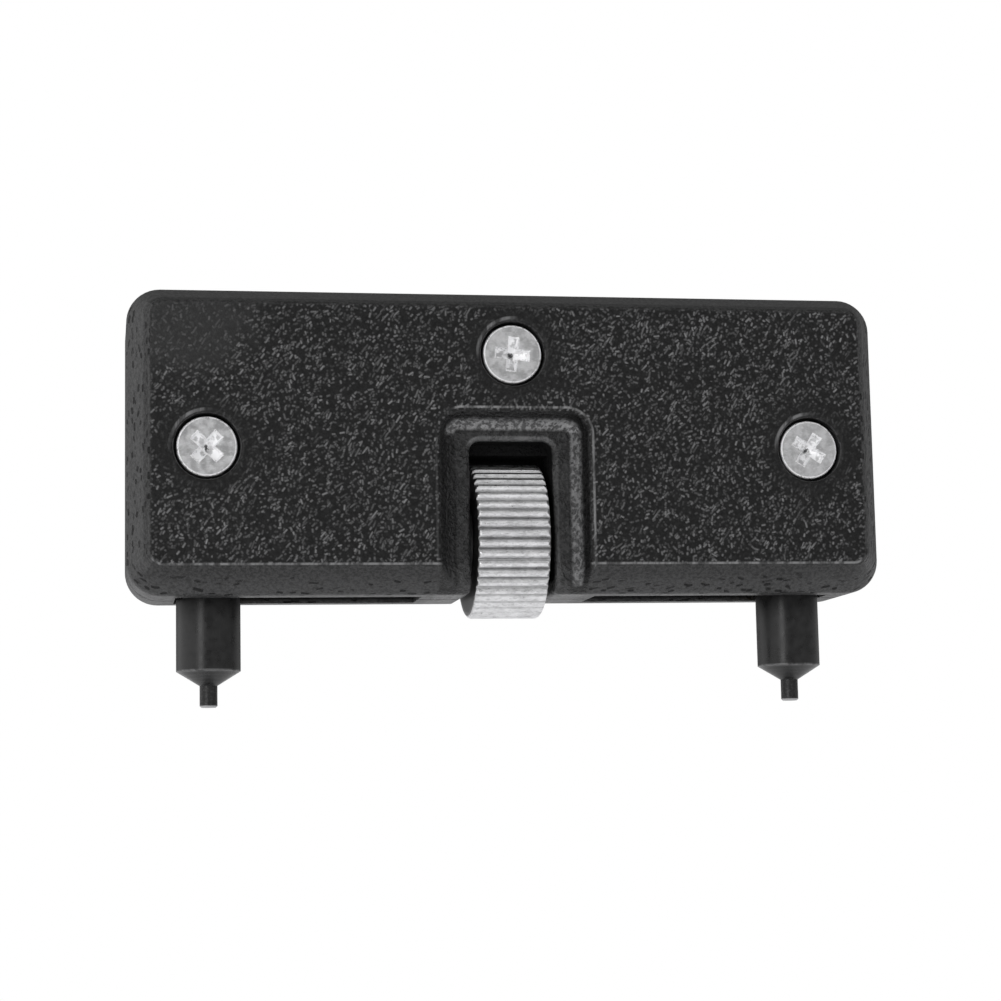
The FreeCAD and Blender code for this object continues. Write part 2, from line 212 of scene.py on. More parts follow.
# Places of a Mix node's sockets: factor, first value, second value, result
MIX_FLOAT_SOCKETS = (0, 2, 3, 0)
MIX_COLOUR_SOCKETS = (0, 6, 7, 2)
BAND_CORE = 0.3
GREY_BLUE = 1.01


class Graph:
    """Short calls that build one tree's nodes. Values may be numbers or other nodes' outputs."""

    def __init__(self, tree):
        self.tree = tree

    def feed(self, socket, value):
        if isinstance(value, bpy.types.NodeSocket):
            self.tree.links.new(value, socket)
        else:
            socket.default_value = value

    def add(self, kind, inputs, **settings):
        made = self.tree.nodes.new("ShaderNode" + kind)
        for name, value in settings.items():
            setattr(made, name, value)
        for name, value in inputs.items():
            self.feed(made.inputs[name], value)
        return made

    def math(self, operation, *values):
        made = self.add("Math", {}, operation=operation)
        for socket, value in zip(made.inputs, values):
            self.feed(socket, value)
        return made.outputs[0]

    def product(self, *values):
        total = values[0]
        for value in values[1:]:
            total = self.math("MULTIPLY", total, value)
        return total

    def highest(self, *values):
        total = values[0]
        for value in values[1:]:
            total = self.math("MAXIMUM", total, value)
        return total

    def scaled(self, value, factor, start):
        """start plus factor times value."""
        return self.math("MULTIPLY_ADD", value, factor, start)

    def rest_of(self, value):
        """What is left of 1."""
        return self.math("SUBTRACT", 1.0, value)

    def centred(self, value):
        """A value from 0 to 1 as one from -0.5 to 0.5."""
        return self.math("SUBTRACT", value, 0.5)

    def length(self, u, v):
        return self.math("SQRT", self.math("ADD", self.product(u, u), self.product(v, v)))

    def away_from(self, value, middle):
        return self.math("ABSOLUTE", self.math("SUBTRACT", value, middle))

    def map_range(self, value, low, high, out_low, out_high, curve):
        made = self.add(
            "MapRange",
            {"Value": value, "From Min": low, "From Max": high, "To Min": out_low, "To Max": out_high},
            interpolation_type=curve,
        )
        return made.outputs["Result"]

    def ramp(self, value, low, high, out_low=0.0, out_high=1.0):
        """A smooth step of value from out_low at low to out_high at high."""
        if low > high:
            low, high, out_low, out_high = high, low, out_high, out_low
        return self.map_range(value, low, high, out_low, out_high, "SMOOTHSTEP")

    def step_from(self, value, origin, step):
        """A smooth step whose limits are measured from origin."""
        low, high, *levels = step
        return self.ramp(value, origin + low, origin + high, *levels)

    def band(self, value, middle, half_width):
        """1 where value is near middle, fading to 0 half_width away."""
        return self.ramp(self.away_from(value, middle), half_width, half_width * BAND_CORE)

    def mix(self, data_type, sockets, factor, a, b):
        *inputs, result = sockets
        made = self.add("Mix", {}, data_type=data_type)
        for place, value in zip(inputs, (factor, a, b)):
            self.feed(made.inputs[place], value)
        return made.outputs[result]

    def choose(self, factor, a, b):
        """a where factor is 0, b where it is 1, for numbers."""
        return self.mix("FLOAT", MIX_FLOAT_SOCKETS, factor, a, b)

    def tint(self, factor, a, b):
        """Colour a where factor is 0, colour b where it is 1."""
        return self.mix("RGBA", MIX_COLOUR_SOCKETS, factor, a, b)

    def between(self, factor, tones):
        """The first of two greys where factor is 0, the second where it is 1."""
        return self.tint(factor, grey(tones[0]), grey(tones[1]))

    def position(self):
        """Place on the object in millimetres; it travels with a moving piece."""
        place = self.add("TexCoord", {}).outputs["Object"]
        return self.add("VectorMath", {0: place, "Scale": 1 / MM}, operation="SCALE").outputs["Vector"]

    def split(self, vector):
        made = self.add("SeparateXYZ", {"Vector": vector})
        return made.outputs["X"], made.outputs["Y"], made.outputs["Z"]

    def join(self, x, y, z=0.0):
        return self.add("CombineXYZ", {"X": x, "Y": y, "Z": z}).outputs["Vector"]

    def vector_math(self, operation, a, b):
        return self.add("VectorMath", {0: a, 1: b}, operation=operation).outputs["Vector"]

    def shifted(self, vector, x, y, z=0.0):
        return self.vector_math("ADD", vector, (x, y, z))

    def stretched(self, vector, x, y, z=1.0):
        return self.vector_math("MULTIPLY", vector, (x, y, z))

    def rotated(self, u, v, cosine, sine):
        along = self.math("ADD", self.product(u, cosine), self.product(v, sine))
        aside = self.math("SUBTRACT", self.product(v, cosine), self.product(u, sine))
        return along, aside

    def noise(self, vector, size, detail=2.0, roughness=0.5):
        """Noise from 0 to 1 whose lumps are about size millimetres across."""
        made = self.add(
            "TexNoise", {"Vector": vector, "Scale": 1 / size, "Detail": detail, "Roughness": roughness}
        )
        return made.outputs[0]

    def bump(self, height, millimetres):
        inputs = {"Height": height, "Distance": millimetres * MM, "Strength": 1.0}
        return self.add("Bump", inputs).outputs["Normal"]


class Surface(Graph):
    """A material's graph."""

    def __init__(self, name):
        self.material = bpy.data.materials.new(name)
        self.material.use_nodes = True
        super().__init__(self.material.node_tree)
        self.shader = self.tree.nodes["Principled BSDF"]

    def finish(self, **inputs):
        """Feeds the shader; underscores in the names stand for spaces."""
        for name, value in inputs.items():
            self.feed(self.shader.inputs[name.replace("_", " ")], value)
        return self.material


def grey(value):
    """A neutral tone with a touch of blue."""
    return (value, value, value * GREY_BLUE, 1.0)


# ------------------------ shell plastic

FACING_LIMIT = 0.66
ON_FACE_STEP = (0.0, -0.35)
IN_RECESS_STEP = (0.1, -0.3)

# Strokes: size of the grid's cells, length and width of a stroke, how far the cells are drawn out, scatter
# of the strokes' turns, share of the cells that hold one, and how far neighbours lean together, in radians.
# The grain is layers of them, each with its strength.
Strokes = namedtuple("Strokes", "cell length width stretch scatter kept lean")
GRAIN = (
    (Strokes(0.44, 0.26, 0.155, 1.0, 1.9, 0.52, 5.0), 0.95),
    (Strokes(0.68, 0.42, 0.15, 1.0, 1.5, 0.42, 5.0), 1.2),
    (Strokes(0.36, 0.05, 0.155, 1.0, 3.0, 0.48, 5.0), 0.55),
)
GRAIN_TURN = 0.95
GRAIN_SHIFT = (13.7, 7.9)
CLUSTERS = Strokes(0.4, 0.8, 0.14, 2.3, 0.3, 0.6, 1.6)
CLUSTER_SHIFT = (-9.1, 4.3)
CLUSTER_PATCH_SHIFT = (5.0, 0.0, 9.0)
CLUSTER_PATCH_NOISE = (1.7, 1.0)
CLUSTER_PATCH_STEP = (0.54, 0.6)
SIDE_PITS = Strokes(0.62, 0.6, 0.2, 1.3, 0.6, 0.55, 0.0)
LOW_PITS = Strokes(0.62, 0.7, 0.2, 1.3, 0.6, 0.5, 0.0)
LEAN_NOISE = (3.2, 1.0)
STROKE_HALF_SPREAD = 0.4
STROKE_HALF_LEAST = 0.1
STROKE_HEIGHT_LEAST = 0.25

# Calm places in the grain: round the screws, and a patch near the upper left corner that is rubbed smooth
SCREW_CALM_STEP = (5.0, 3.7)
SCREW_CALM_SHARE = 0.8
SMOOTH_PATCH = (-30.5, 34.0)
SMOOTH_PATCH_PER_MM = (0.11, 0.16)
SMOOTH_PATCH_NOISE = (3.2, 1.0)
SMOOTH_PATCH_RAGGED = 0.5
SMOOTH_PATCH_STEP = (1.25, 0.7)
SMOOTH_PATCH_SHARE = 0.7
GRAIN_STRENGTH_NOISE = (1.6, 2.0)
GRAIN_STRENGTH_STEP = (0.25, 0.7, 0.45, 1.0)

# Relief beside the grain
FINE_NOISE = (0.16, 3.0, 0.65)
MOTTLE_NOISE = (0.3, 4.0, 0.75)
PIT_STEP = (0.05, 0.5)
LOW_EDGE_STEP = (2.4, 0.3)
PEBBLE_STRETCH = (1.0, 1.0, 0.8)
PEBBLE_NOISE = (0.6, 2.0, 0.6)
LUMP_NOISE = (0.36, 2.0, 0.6)
LUMP_STEP = (0.3, 0.7)
LEATHER_NOISE = (1.3, 2.0)
LEATHER_STEP = (0.35, 0.6, 0.8, 2.2)
PIT_DEPTH = 1.6
PEBBLE_HEIGHT = 2.2
MOTTLE_HEIGHT = 0.45
SHELL_BUMP = 0.075

# Painted highlights on edges: the face's lower edge, the recess's rim, the lips of the counterbores, the
# wheel slot
BREAKUP_STRETCH = (1.0, 1.0, 0.1)
BREAKUP_NOISE = (0.9, 3.0, 0.7)
BREAKUP_STEP = (0.4, 0.62)
BREAKUP_LEAST = 0.15
FACE_EDGE_BAND = (-0.12, 0.15)
FACE_EDGE_DEPTH_STEP = (7.6, 7.9)
FACE_EDGE_SHARE = 0.7
LOWER_STEP = (3.2, 2.8)
RECESS_RIM_BAND = (0.22, 0.15)
RECESS_RIM_SIDE_STEP = (-6.2, -5.2, 0.15, 1.0)
RECESS_RIM_SHARE = 0.75
LIP_OUTSIDE_COUNTERBORE = 0.3
LIP_HALF_WIDTH = 0.22
LIP_LIT_STEP = (2.4, 4.2)
LIP_SHARE = 0.6
SLOT_EDGE_BAND = (0.22, 0.3)
SLOT_EDGE_OUTER_STEP = (6.4, 6.0)
SLOT_EDGE_INNER_STEP = (5.3, 5.6)
SLOT_TOP_STEP = (WHEEL_SLOT_HEIGHT - 1.0, WHEEL_SLOT_HEIGHT)
SLOT_TOP_SHARE = 0.38
SLOT_RIGHT_STEP = (3.0, 3.6)
SLOT_RIGHT_SHARE = 0.12
SLOT_EDGE_LEAST = 0.6

# Painted sheen at the foot of the recess's walls, on its upper and right-hand side
FOOT_BAND = (-1.15, 0.62)
FOOT_DEPTH_STEP = (5.7, 5.95)
FOOT_UPPER_STEP = (14.1, 14.8)
FOOT_RIGHT_STEP = (4.6, 5.2)
FOOT_RIGHT_SHARE = 0.65
FOOT_LEAST = 0.08
FOOT_LUMP_STEP = (0.15, 0.75, 0.3, 1.0)

# Openings, where almost no light gets in
SLOT_DEEP_STEP = (5.75, 5.2)
SLOT_RISE_STEP = (0.4, 1.4)
CHANNEL_RISE_STEP = (0.05, 0.5)

# Colour and shine
PLASTIC_STEP = (0.35, 0.7)
PLASTIC_TONES = (0.002, 0.012)
BEVEL_STEP = (0.42, 0.6)
BEVEL_SHARE = 0.7
BEVEL_LIGHT_TONE = 0.04
PALE_LOW_EDGE_STEP = (2.2, 0.4)
PALE_LOW_STEP = (0.3, 0.6, 0.3, 1.0)
PALE_LOW_SHARE = 0.7
PALE_SIDE_STEP = (0.3, 0.6, 0.4, 1.0)
PALE_SIDE_SHARE = 0.6
PALE_LIGHT_TONE = 0.055
RECESS_FLOOR_STEP = (-1.6, -1.9)
RECESS_FLOOR_DEPTH_STEP = (6.6, 6.2)
RECESS_FLOOR_LUMP_STEP = (0.2, 0.8, 0.3, 0.7)
RECESS_FLOOR_TONE = 0.05
GRAIN_GLINT_TONE = 0.22
PIT_SHARE = 0.7
PIT_TONE = 0.001
PAINTED_HIGHLIGHT_SHARE = 0.9
PAINTED_HIGHLIGHT_TONE = 0.3
DEEP_TONE = 0.014
EDGE_SHADOW_BAND = (0.25, 0.3)
EDGE_SHADOW_SHARE = 0.6
DULL_PIT_SHARE = 0.6
SHADED_WALL_BAND = (-0.45, 0.5)
SHADED_WALL_RIGHT_STEP = (4.6, 5.4)
SHADED_WALL_FRONT_STEP = (-5.9, -6.2)
SHADED_WALL_SHARE = 0.7
SHINE = 0.5
SHINE_ON_FACE = -0.22
SHINE_ON_SMOOTH_FACE = 0.28
ROUGHNESS = 0.4
ROUGHNESS_SPREAD = 0.12
RECESS_SMOOTHER = 0.12
PLASTIC_IOR = 1.45


def surface_plane(g, place):
    """Flat coordinates on the shell: (x, z) on its faces, along the edge on its bevels and sides."""
    x, y, z = g.split(place)
    normal = g.add("TexCoord", {}).outputs["Normal"]
    nx, ny, nz = (g.math("ABSOLUTE", part) for part in g.split(normal))
    facing = g.math("GREATER_THAN", ny, FACING_LIMIT)
    sideways = g.math("GREATER_THAN", nx, nz)
    across = g.choose(facing, g.choose(sideways, x, y), x)
    upward = g.choose(facing, g.choose(sideways, y, z), z)
    return g.join(across, upward), facing, sideways


def turned_plane(g, plane, turn):
    """The flat coordinates turned by a fixed angle."""
    u, v, _ = g.split(plane)
    return g.join(*g.rotated(u, v, math.cos(turn), math.sin(turn)))


def dashes(g, plane, strokes):
    """Short straight round-ended strokes, one to a cell of a broken grid, each with its own turn."""
    squeezed = g.stretched(plane, 1 / strokes.stretch, 1.0)
    cells = g.add("TexVoronoi", {"Vector": squeezed, "Scale": 1 / strokes.cell}, voronoi_dimensions="2D")
    turn_draw, length_draw, keep_draw = g.split(cells.outputs["Color"])
    centre = cells.outputs["Position"]
    away = g.vector_math("SUBTRACT", squeezed, centre)
    u, v, _ = g.split(g.stretched(away, strokes.stretch, 1.0))
    angle = g.product(g.centred(turn_draw), strokes.scatter)
    if strokes.lean:
        angle = g.scaled(g.centred(g.noise(centre, *LEAN_NOISE)), strokes.lean, angle)
    along, aside = g.rotated(u, v, g.math("COSINE", angle), g.math("SINE", angle))
    half = g.scaled(length_draw, strokes.length * STROKE_HALF_SPREAD, strokes.length * STROKE_HALF_LEAST)
    beyond = g.math("MAXIMUM", g.math("SUBTRACT", g.math("ABSOLUTE", along), half), 0.0)
    stroke = g.ramp(g.length(beyond, aside), strokes.width, 0.0)
    fullness = g.rest_of(g.math("DIVIDE", keep_draw, strokes.kept))
    raised = g.scaled(g.product(fullness, fullness), 1 - STROKE_HEIGHT_LEAST, STROKE_HEIGHT_LEAST)
    return g.product(stroke, raised, g.math("LESS_THAN", keep_draw, strokes.kept))


def shell_grain(g, place, plane):
    """Dense dots and short strokes, with patches of longer strokes that lie side by side."""
    leaning = turned_plane(g, plane, GRAIN_TURN)
    layers = []
    for index, (strokes, level) in enumerate(GRAIN):
        moved = g.shifted(leaning, GRAIN_SHIFT[0] * index, GRAIN_SHIFT[1] * index)
        layers.append(g.product(dashes(g, moved, strokes), level))
    clusters = dashes(g, g.shifted(leaning, *CLUSTER_SHIFT), CLUSTERS)
    patches = g.noise(g.shifted(place, *CLUSTER_PATCH_SHIFT), *CLUSTER_PATCH_NOISE)
    return g.highest(*layers, g.product(clusters, g.ramp(patches, *CLUSTER_PATCH_STEP)))


def outline_distance(g, x, z, outline):
    """Signed distance across Y from a round-cornered rectangle, negative inside."""
    low_x, high_x, low_z, high_z, corner = outline
    off_x = g.math("SUBTRACT", g.away_from(x, (low_x + high_x) / 2), (high_x - low_x) / 2 - corner)
    off_z = g.math("SUBTRACT", g.away_from(z, (low_z + high_z) / 2), (high_z - low_z) / 2 - corner)
    outside = g.length(g.math("MAXIMUM", off_x, 0.0), g.math("MAXIMUM", off_z, 0.0))
    inside = g.math("MINIMUM", g.math("MAXIMUM", off_x, off_z), 0.0)
    return g.math("SUBTRACT", g.math("ADD", outside, inside), corner)


def from_screw(g, x, z, node):
    """How far a point lies across and up from a screw's axis, and its radius round it."""
    low, high = box_mm(node)
    u = g.math("SUBTRACT", x, (low.x + high.x) / 2)
    v = g.math("SUBTRACT", z, (low.z + high.z) / 2)
    return u, v, g.length(u, v)


def near_screws(g, s):
    """Two masks on the front: 1 close round the screws, and 1 on the lit upper-left lip of their holes."""
    on_front = g.math("LESS_THAN", s.y, 0.0)
    close, lip = 0.0, 0.0
    for name in SCREW_NODES:
        u, v, radius = from_screw(g, s.x, s.z, name)
        close = g.math("MAXIMUM", close, g.ramp(radius, *SCREW_CALM_STEP))
        edge = g.band(radius, COUNTERBORE_R + LIP_OUTSIDE_COUNTERBORE, LIP_HALF_WIDTH)
        lit = g.ramp(g.math("SUBTRACT", v, u), *LIP_LIT_STEP)
        lip = g.math("MAXIMUM", lip, g.product(edge, lit))
    return g.product(close, on_front), g.product(lip, on_front)


def inside_openings(g, s):
    """1 on the walls inside the wheel slot and the post slots, which see almost no light."""
    off_x = g.math("ABSOLUTE", s.x)
    height = g.math("SUBTRACT", s.z, CASE_BOTTOM)
    wheel_slot = g.product(
        g.ramp(s.off_y, *SLOT_DEEP_STEP),
        g.math("LESS_THAN", off_x, WHEEL_SLOT_HALF + WALL_SKIN),
        g.ramp(height, *SLOT_RISE_STEP),
        g.math("LESS_THAN", height, WHEEL_SLOT_HEIGHT + WALL_SKIN),
    )
    channels = g.product(
        g.math("LESS_THAN", s.off_y, CHANNEL_HALF_DEPTH),
        g.math("GREATER_THAN", off_x, CHANNEL_INNER_X),
        g.math("LESS_THAN", off_x, CHANNEL_OUTER_X),
        g.ramp(height, *CHANNEL_RISE_STEP),
        g.math("LESS_THAN", height, CHANNEL_TOP),
    )
    return g.math("MAXIMUM", wheel_slot, channels)


def shell_places(g):
    """Where a point of the shell lies: coordinates, distances from the outlines, masks, shared noise."""
    place = g.position()
    x, y, z = g.split(place)
    plane, facing, sideways = surface_plane(g, place)
    face, recess, slot = (outline_distance(g, x, z, outline) for outline in (FACE, RECESS, WHEEL_SLOT))
    on_face = g.product(facing, g.ramp(face, *ON_FACE_STEP))
    in_recess = g.ramp(recess, *IN_RECESS_STEP)
    out_of_recess = g.rest_of(in_recess)
    return SimpleNamespace(
        place=place, x=x, y=y, z=z, off_y=g.math("ABSOLUTE", y),
        plane=plane, facing=facing, sideways=sideways,
        face=face, recess=recess, slot=slot,
        on_face=on_face, in_recess=in_recess, out_of_recess=out_of_recess,
        on_bevel=g.product(g.rest_of(on_face), out_of_recess),
        lower=g.step_from(z, CASE_BOTTOM, LOWER_STEP),
        mottle=g.noise(place, *MOTTLE_NOISE),
        lumps=g.ramp(g.noise(place, *LUMP_NOISE), *LUMP_STEP),
    )


def smooth_patch(g, s):
    """1 in the patch of the face that is worn smooth."""
    u = g.product(g.math("ADD", s.x, -SMOOTH_PATCH[0]), SMOOTH_PATCH_PER_MM[0])
    v = g.product(g.math("SUBTRACT", s.z, SMOOTH_PATCH[1]), SMOOTH_PATCH_PER_MM[1])
    ragged = g.scaled(g.noise(s.place, *SMOOTH_PATCH_NOISE), SMOOTH_PATCH_RAGGED, g.length(u, v))
    return g.ramp(ragged, *SMOOTH_PATCH_STEP)


def face_grain(g, s, screw_surround, worn_smooth):
    """The grain where it is not calmed, on the flat faces."""
    calm = g.highest(
        g.product(screw_surround, SCREW_CALM_SHARE), g.product(worn_smooth, SMOOTH_PATCH_SHARE), s.in_recess
    )
    strength = g.ramp(g.noise(s.place, *GRAIN_STRENGTH_NOISE), *GRAIN_STRENGTH_STEP)
    return g.product(shell_grain(g, s.place, s.plane), s.on_face, g.rest_of(calm), strength)


def shell_relief(g, s, grain):
    """Pits in the bevels, and the bumped normal of everything on the surface."""
    side_pits = dashes(g, turned_plane(g, s.plane, math.pi / 2), SIDE_PITS)
    low_edge = g.step_from(s.z, CASE_BOTTOM, LOW_EDGE_STEP)
    low_pits = g.product(dashes(g, s.plane, LOW_PITS), low_edge)
    pitted = g.product(g.ramp(g.choose(s.sideways, low_pits, side_pits), *PIT_STEP), s.on_bevel)
    pebbles = g.noise(g.stretched(s.place, *PEBBLE_STRETCH), *PEBBLE_NOISE)
    pebbled = g.product(pebbles, s.on_bevel, g.highest(s.sideways, low_edge))
    leather = g.product(s.lumps, s.in_recess, g.ramp(g.noise(s.place, *LEATHER_NOISE), *LEATHER_STEP))
    height = g.math("SUBTRACT", g.math("ADD", grain, leather), g.product(pitted, PIT_DEPTH))
    height = g.scaled(pebbled, PEBBLE_HEIGHT, height)
    height = g.scaled(s.mottle, MOTTLE_HEIGHT, height)
    return pitted, g.bump(height, SHELL_BUMP)


def shell_edges(g, s, lip_highlight):
    """Painted highlights as pale edges: on the face's lower edge, the recess's rim and the screw holes'
    lips, and on the edge of the wheel slot where it catches the light.
    """
    broken = g.ramp(g.noise(g.stretched(s.place, *BREAKUP_STRETCH), *BREAKUP_NOISE), *BREAKUP_STEP)
    face_edge = g.product(g.band(s.face, *FACE_EDGE_BAND), g.ramp(s.off_y, *FACE_EDGE_DEPTH_STEP))
    rim_side = g.ramp(s.x, *RECESS_RIM_SIDE_STEP)
    rim = g.product(g.band(s.recess, *RECESS_RIM_BAND), s.facing, rim_side, RECESS_RIM_SHARE)
    # Painted highlight: broken pale lines on the face's lower edge, on the recess's rim (faint on its left)
    # and on the upper-left lips of the screw holes.
    edge_highlight = g.highest(g.product(face_edge, s.lower, FACE_EDGE_SHARE), rim, g.product(lip_highlight, LIP_SHARE))
    edge_highlight = g.product(edge_highlight, g.scaled(broken, 1 - BREAKUP_LEAST, BREAKUP_LEAST))
    # Painted highlight on the top and right edge of the wheel slot.
    outer, inner = g.ramp(s.off_y, *SLOT_EDGE_OUTER_STEP), g.ramp(s.off_y, *SLOT_EDGE_INNER_STEP)
    at_slot = g.product(g.band(s.slot, *SLOT_EDGE_BAND), outer, inner)
    slot_top = g.product(g.step_from(s.z, CASE_BOTTOM, SLOT_TOP_STEP), SLOT_TOP_SHARE)
    slot_right = g.product(g.ramp(s.x, *SLOT_RIGHT_STEP), SLOT_RIGHT_SHARE)
    slot_lit = g.highest(slot_top, slot_right)
    slot_edge_highlight = g.product(at_slot, slot_lit, g.scaled(broken, 1 - SLOT_EDGE_LEAST, SLOT_EDGE_LEAST))
    return g.product(edge_highlight, PAINTED_HIGHLIGHT_SHARE), slot_edge_highlight


def painted_recess_sheen(g, s):
    """1 on the lumps at the foot of the recess's walls, where a sheen is painted as pale colour."""
    foot = g.product(g.band(s.recess, *FOOT_BAND), g.ramp(s.off_y, *FOOT_DEPTH_STEP))
    upper = g.step_from(s.z, CASE_BOTTOM, FOOT_UPPER_STEP)
    right = g.product(g.ramp(s.x, *FOOT_RIGHT_STEP), FOOT_RIGHT_SHARE)
    return g.product(foot, g.highest(upper, right, FOOT_LEAST), g.ramp(s.lumps, *FOOT_LUMP_STEP))


def plastic_colour(g, s, grain, pitted, painted_highlights, deep):
    """Near black; paler on the bevels as painted light, paler lumps on the recess's floor, the grain pale
    as painted glints, painted highlights on edges, painted sheen in the recess, painted shade in openings.
    """
    colour = g.between(g.ramp(s.mottle, *PLASTIC_STEP), PLASTIC_TONES)
    # Painted light: the bevels are coloured paler, the side bevels and the bevel near the bottom paler
    # still, for the light they catch.
    bevel_light = g.product(s.on_bevel, g.ramp(s.mottle, *BEVEL_STEP), BEVEL_SHARE)
    colour = g.tint(bevel_light, colour, grey(BEVEL_LIGHT_TONE))
    low_edge = g.step_from(s.z, CASE_BOTTOM, PALE_LOW_EDGE_STEP)
    pale_low = g.product(s.on_bevel, low_edge, g.ramp(s.mottle, *PALE_LOW_STEP))
    pale_side = g.product(s.on_bevel, s.sideways, g.ramp(s.mottle, *PALE_SIDE_STEP))
    painted_bevel_light = g.highest(g.product(pale_low, PALE_LOW_SHARE), g.product(pale_side, PALE_SIDE_SHARE))
    colour = g.tint(painted_bevel_light, colour, grey(PALE_LIGHT_TONE))
    floor_depth = g.ramp(s.off_y, *RECESS_FLOOR_DEPTH_STEP)
    recess_floor = g.product(g.ramp(s.recess, *RECESS_FLOOR_STEP), floor_depth)
    recess_lumps = g.product(recess_floor, g.ramp(s.lumps, *RECESS_FLOOR_LUMP_STEP))
    colour = g.tint(recess_lumps, colour, grey(RECESS_FLOOR_TONE))
    # Painted glints: the grain's raised strokes are coloured pale, as if they caught the light.
    colour = g.tint(grain, colour, grey(GRAIN_GLINT_TONE))
    colour = g.tint(g.product(pitted, PIT_SHARE), colour, grey(PIT_TONE))
    # Painted highlights on edges and painted sheen in the recess, as pale colour.
    colour = g.tint(painted_highlights, colour, grey(PAINTED_HIGHLIGHT_TONE))
    return g.tint(deep, colour, grey(DEEP_TONE))


def plastic_shine(g, s, worn_smooth, pitted, deep):
    """Specular level: lower on the grained face, and almost none in openings and pits."""
    edge_shadow = g.product(g.band(s.face, *EDGE_SHADOW_BAND), g.rest_of(s.lower), s.out_of_recess)
    wall = g.band(s.recess, *SHADED_WALL_BAND)
    wall_right, wall_front = g.ramp(s.x, *SHADED_WALL_RIGHT_STEP), g.ramp(s.y, *SHADED_WALL_FRONT_STEP)
    shaded_wall = g.product(wall, wall_right, wall_front, SHADED_WALL_SHARE)
    shadow = g.product(edge_shadow, EDGE_SHADOW_SHARE)
    dull = g.highest(deep, g.product(pitted, DULL_PIT_SHARE), shadow, shaded_wall)
    on_face = g.scaled(worn_smooth, SHINE_ON_SMOOTH_FACE, SHINE_ON_FACE)
    shine = g.math("MULTIPLY_ADD", s.on_face, on_face, SHINE)
    return g.product(shine, g.rest_of(dull))


def shell_plastic():
    """Black moulded plastic: raised strokes on faces, pits on bevels, glossy lumps in the recess."""
    g = Surface("shell_plastic_grained")
    s = shell_places(g)
    worn_smooth = smooth_patch(g, s)
    screw_surround, lip_highlight = near_screws(g, s)
    grain = face_grain(g, s, screw_surround, worn_smooth)
    pitted, normal = shell_relief(g, s, grain)
    edge_highlight, slot_edge_highlight = shell_edges(g, s, lip_highlight)
    # Painted sheen at the foot of the recess's walls.
    painted_sheen = g.product(painted_recess_sheen(g, s), PAINTED_HIGHLIGHT_SHARE)
    deep = inside_openings(g, s)
    colour = plastic_colour(g, s, grain, pitted, g.highest(edge_highlight, slot_edge_highlight, painted_sheen), deep)
    rough = g.scaled(g.noise(s.place, *FINE_NOISE), ROUGHNESS_SPREAD, ROUGHNESS)
    rough = g.math("SUBTRACT", rough, g.product(s.in_recess, RECESS_SMOOTHER))
    return g.finish(
        Base_Color=colour,
        Roughness=rough,
        Normal=normal,
        IOR=PLASTIC_IOR,
        Specular_IOR_Level=plastic_shine(g, s, worn_smooth, pitted, deep),
    )


# ------------------------ metals

CLOUD_STEP = (0.3, 0.7)

ZINC_CLOUD_NOISE = (0.8, 4.0, 0.6)
ZINC_CLOUD_STEP = (0.35, 0.65)
ZINC_TONES = (0.4, 0.6)
ZINC_SPECK_NOISE = (0.12, 3.0, 0.7)
ZINC_SPECK_STEP = (0.62, 0.75)
ZINC_SPECK_SHARE = 0.5
ZINC_SPECK_TONE = 0.25
ZINC_SCRATCH_STRETCH = (0.3, 1.0, 1.6)
ZINC_SCRATCH_NOISE = (0.14, 2.0, 0.6)
ZINC_SCRATCH_STEP = (0.55, 0.7)
ZINC_SCRATCH_SHARE = 0.35
ZINC_SCRATCH_TONE = 0.8
RAGGED_NOISE = (0.35, 3.0, 0.7)
RAGGED_CROSS = 0.3
IN_CROSS_STEP = (0.05, -0.1)
PATCHY_SHIFT = (3.0, 0.0, 7.0)
PATCHY_NOISE = (0.75, 2.0, 0.6)
PATCHY_STEP = (0.42, 0.58, 0.1, 1.0)
CROSS_REFLECTION_TONE = 0.96
CROSS_EDGE_HIGHLIGHT_BAND = (0.02, 0.14)
CROSS_EDGE_HIGHLIGHT_STEP = (0.36, 0.48)
HEAD_RIM_HALF_WIDTH = 0.12
HEAD_RIM_STEP = (0.3, 0.5)
SCREW_HIGHLIGHT_TONE = 1.0
DARK_MIDDLE_RAGGED = 0.9
DARK_MIDDLE_STEP = (0.34, 0.16)
DARK_MIDDLE_TONE = 0.06
ZINC_ROUGHNESS_STEP = (0.3, 0.7, 0.36, 0.5)
ZINC_SPECK_HEIGHT = 0.5
ZINC_BUMP = 0.015
ZINC_METALLIC = 0.85
ZINC_METALLIC_PAINTED = -0.7

NICKEL_STREAK_STRETCH = (0.25, 1.0, 1.0)
NICKEL_STREAK_NOISE = (0.14, 3.0, 0.6)
NICKEL_STREAK_STEP = (0.45, 0.65)
NICKEL_STREAK_SHARE = 0.5
NICKEL_STREAK_TONE = 0.97
NICKEL_PIT_NOISE = (0.3, 3.0, 0.7)
NICKEL_PIT_STEP = (0.66, 0.72)
NICKEL_PIT_SHARE = 0.6
NICKEL_PIT_TONE = 0.25
NICKEL_CLOUD_NOISE = (1.1, 3.0)
NICKEL_TONES = (0.66, 0.84)
GRIME_STRETCH = (0.35, 1.0, 1.0)
GRIME_NOISE = (0.22, 4.0, 0.7)
GRIME_STEP = (0.5, 0.36)
GRIME_SHARE = 0.42
GRIME_TONE = 0.34
VALLEY_RAGGED = 0.12
VALLEY_STEP = (-0.06, -0.28)
VALLEY_SHADE_SHARE = 0.6
VALLEY_SHADE_TONE = 0.2
WHEEL_SIDE_STEP = (-0.2, -0.06)
WHEEL_SIDE_RADIUS_STEP = (6.7, 6.4)
WHEEL_SIDE_SHARE = 0.9
WHEEL_SIDE_SHADE_TONE = 0.14
NICKEL_ROUGHNESS_STEP = (0.3, 0.7, 0.26, 0.42)
NICKEL_STREAK_HEIGHT = 0.7
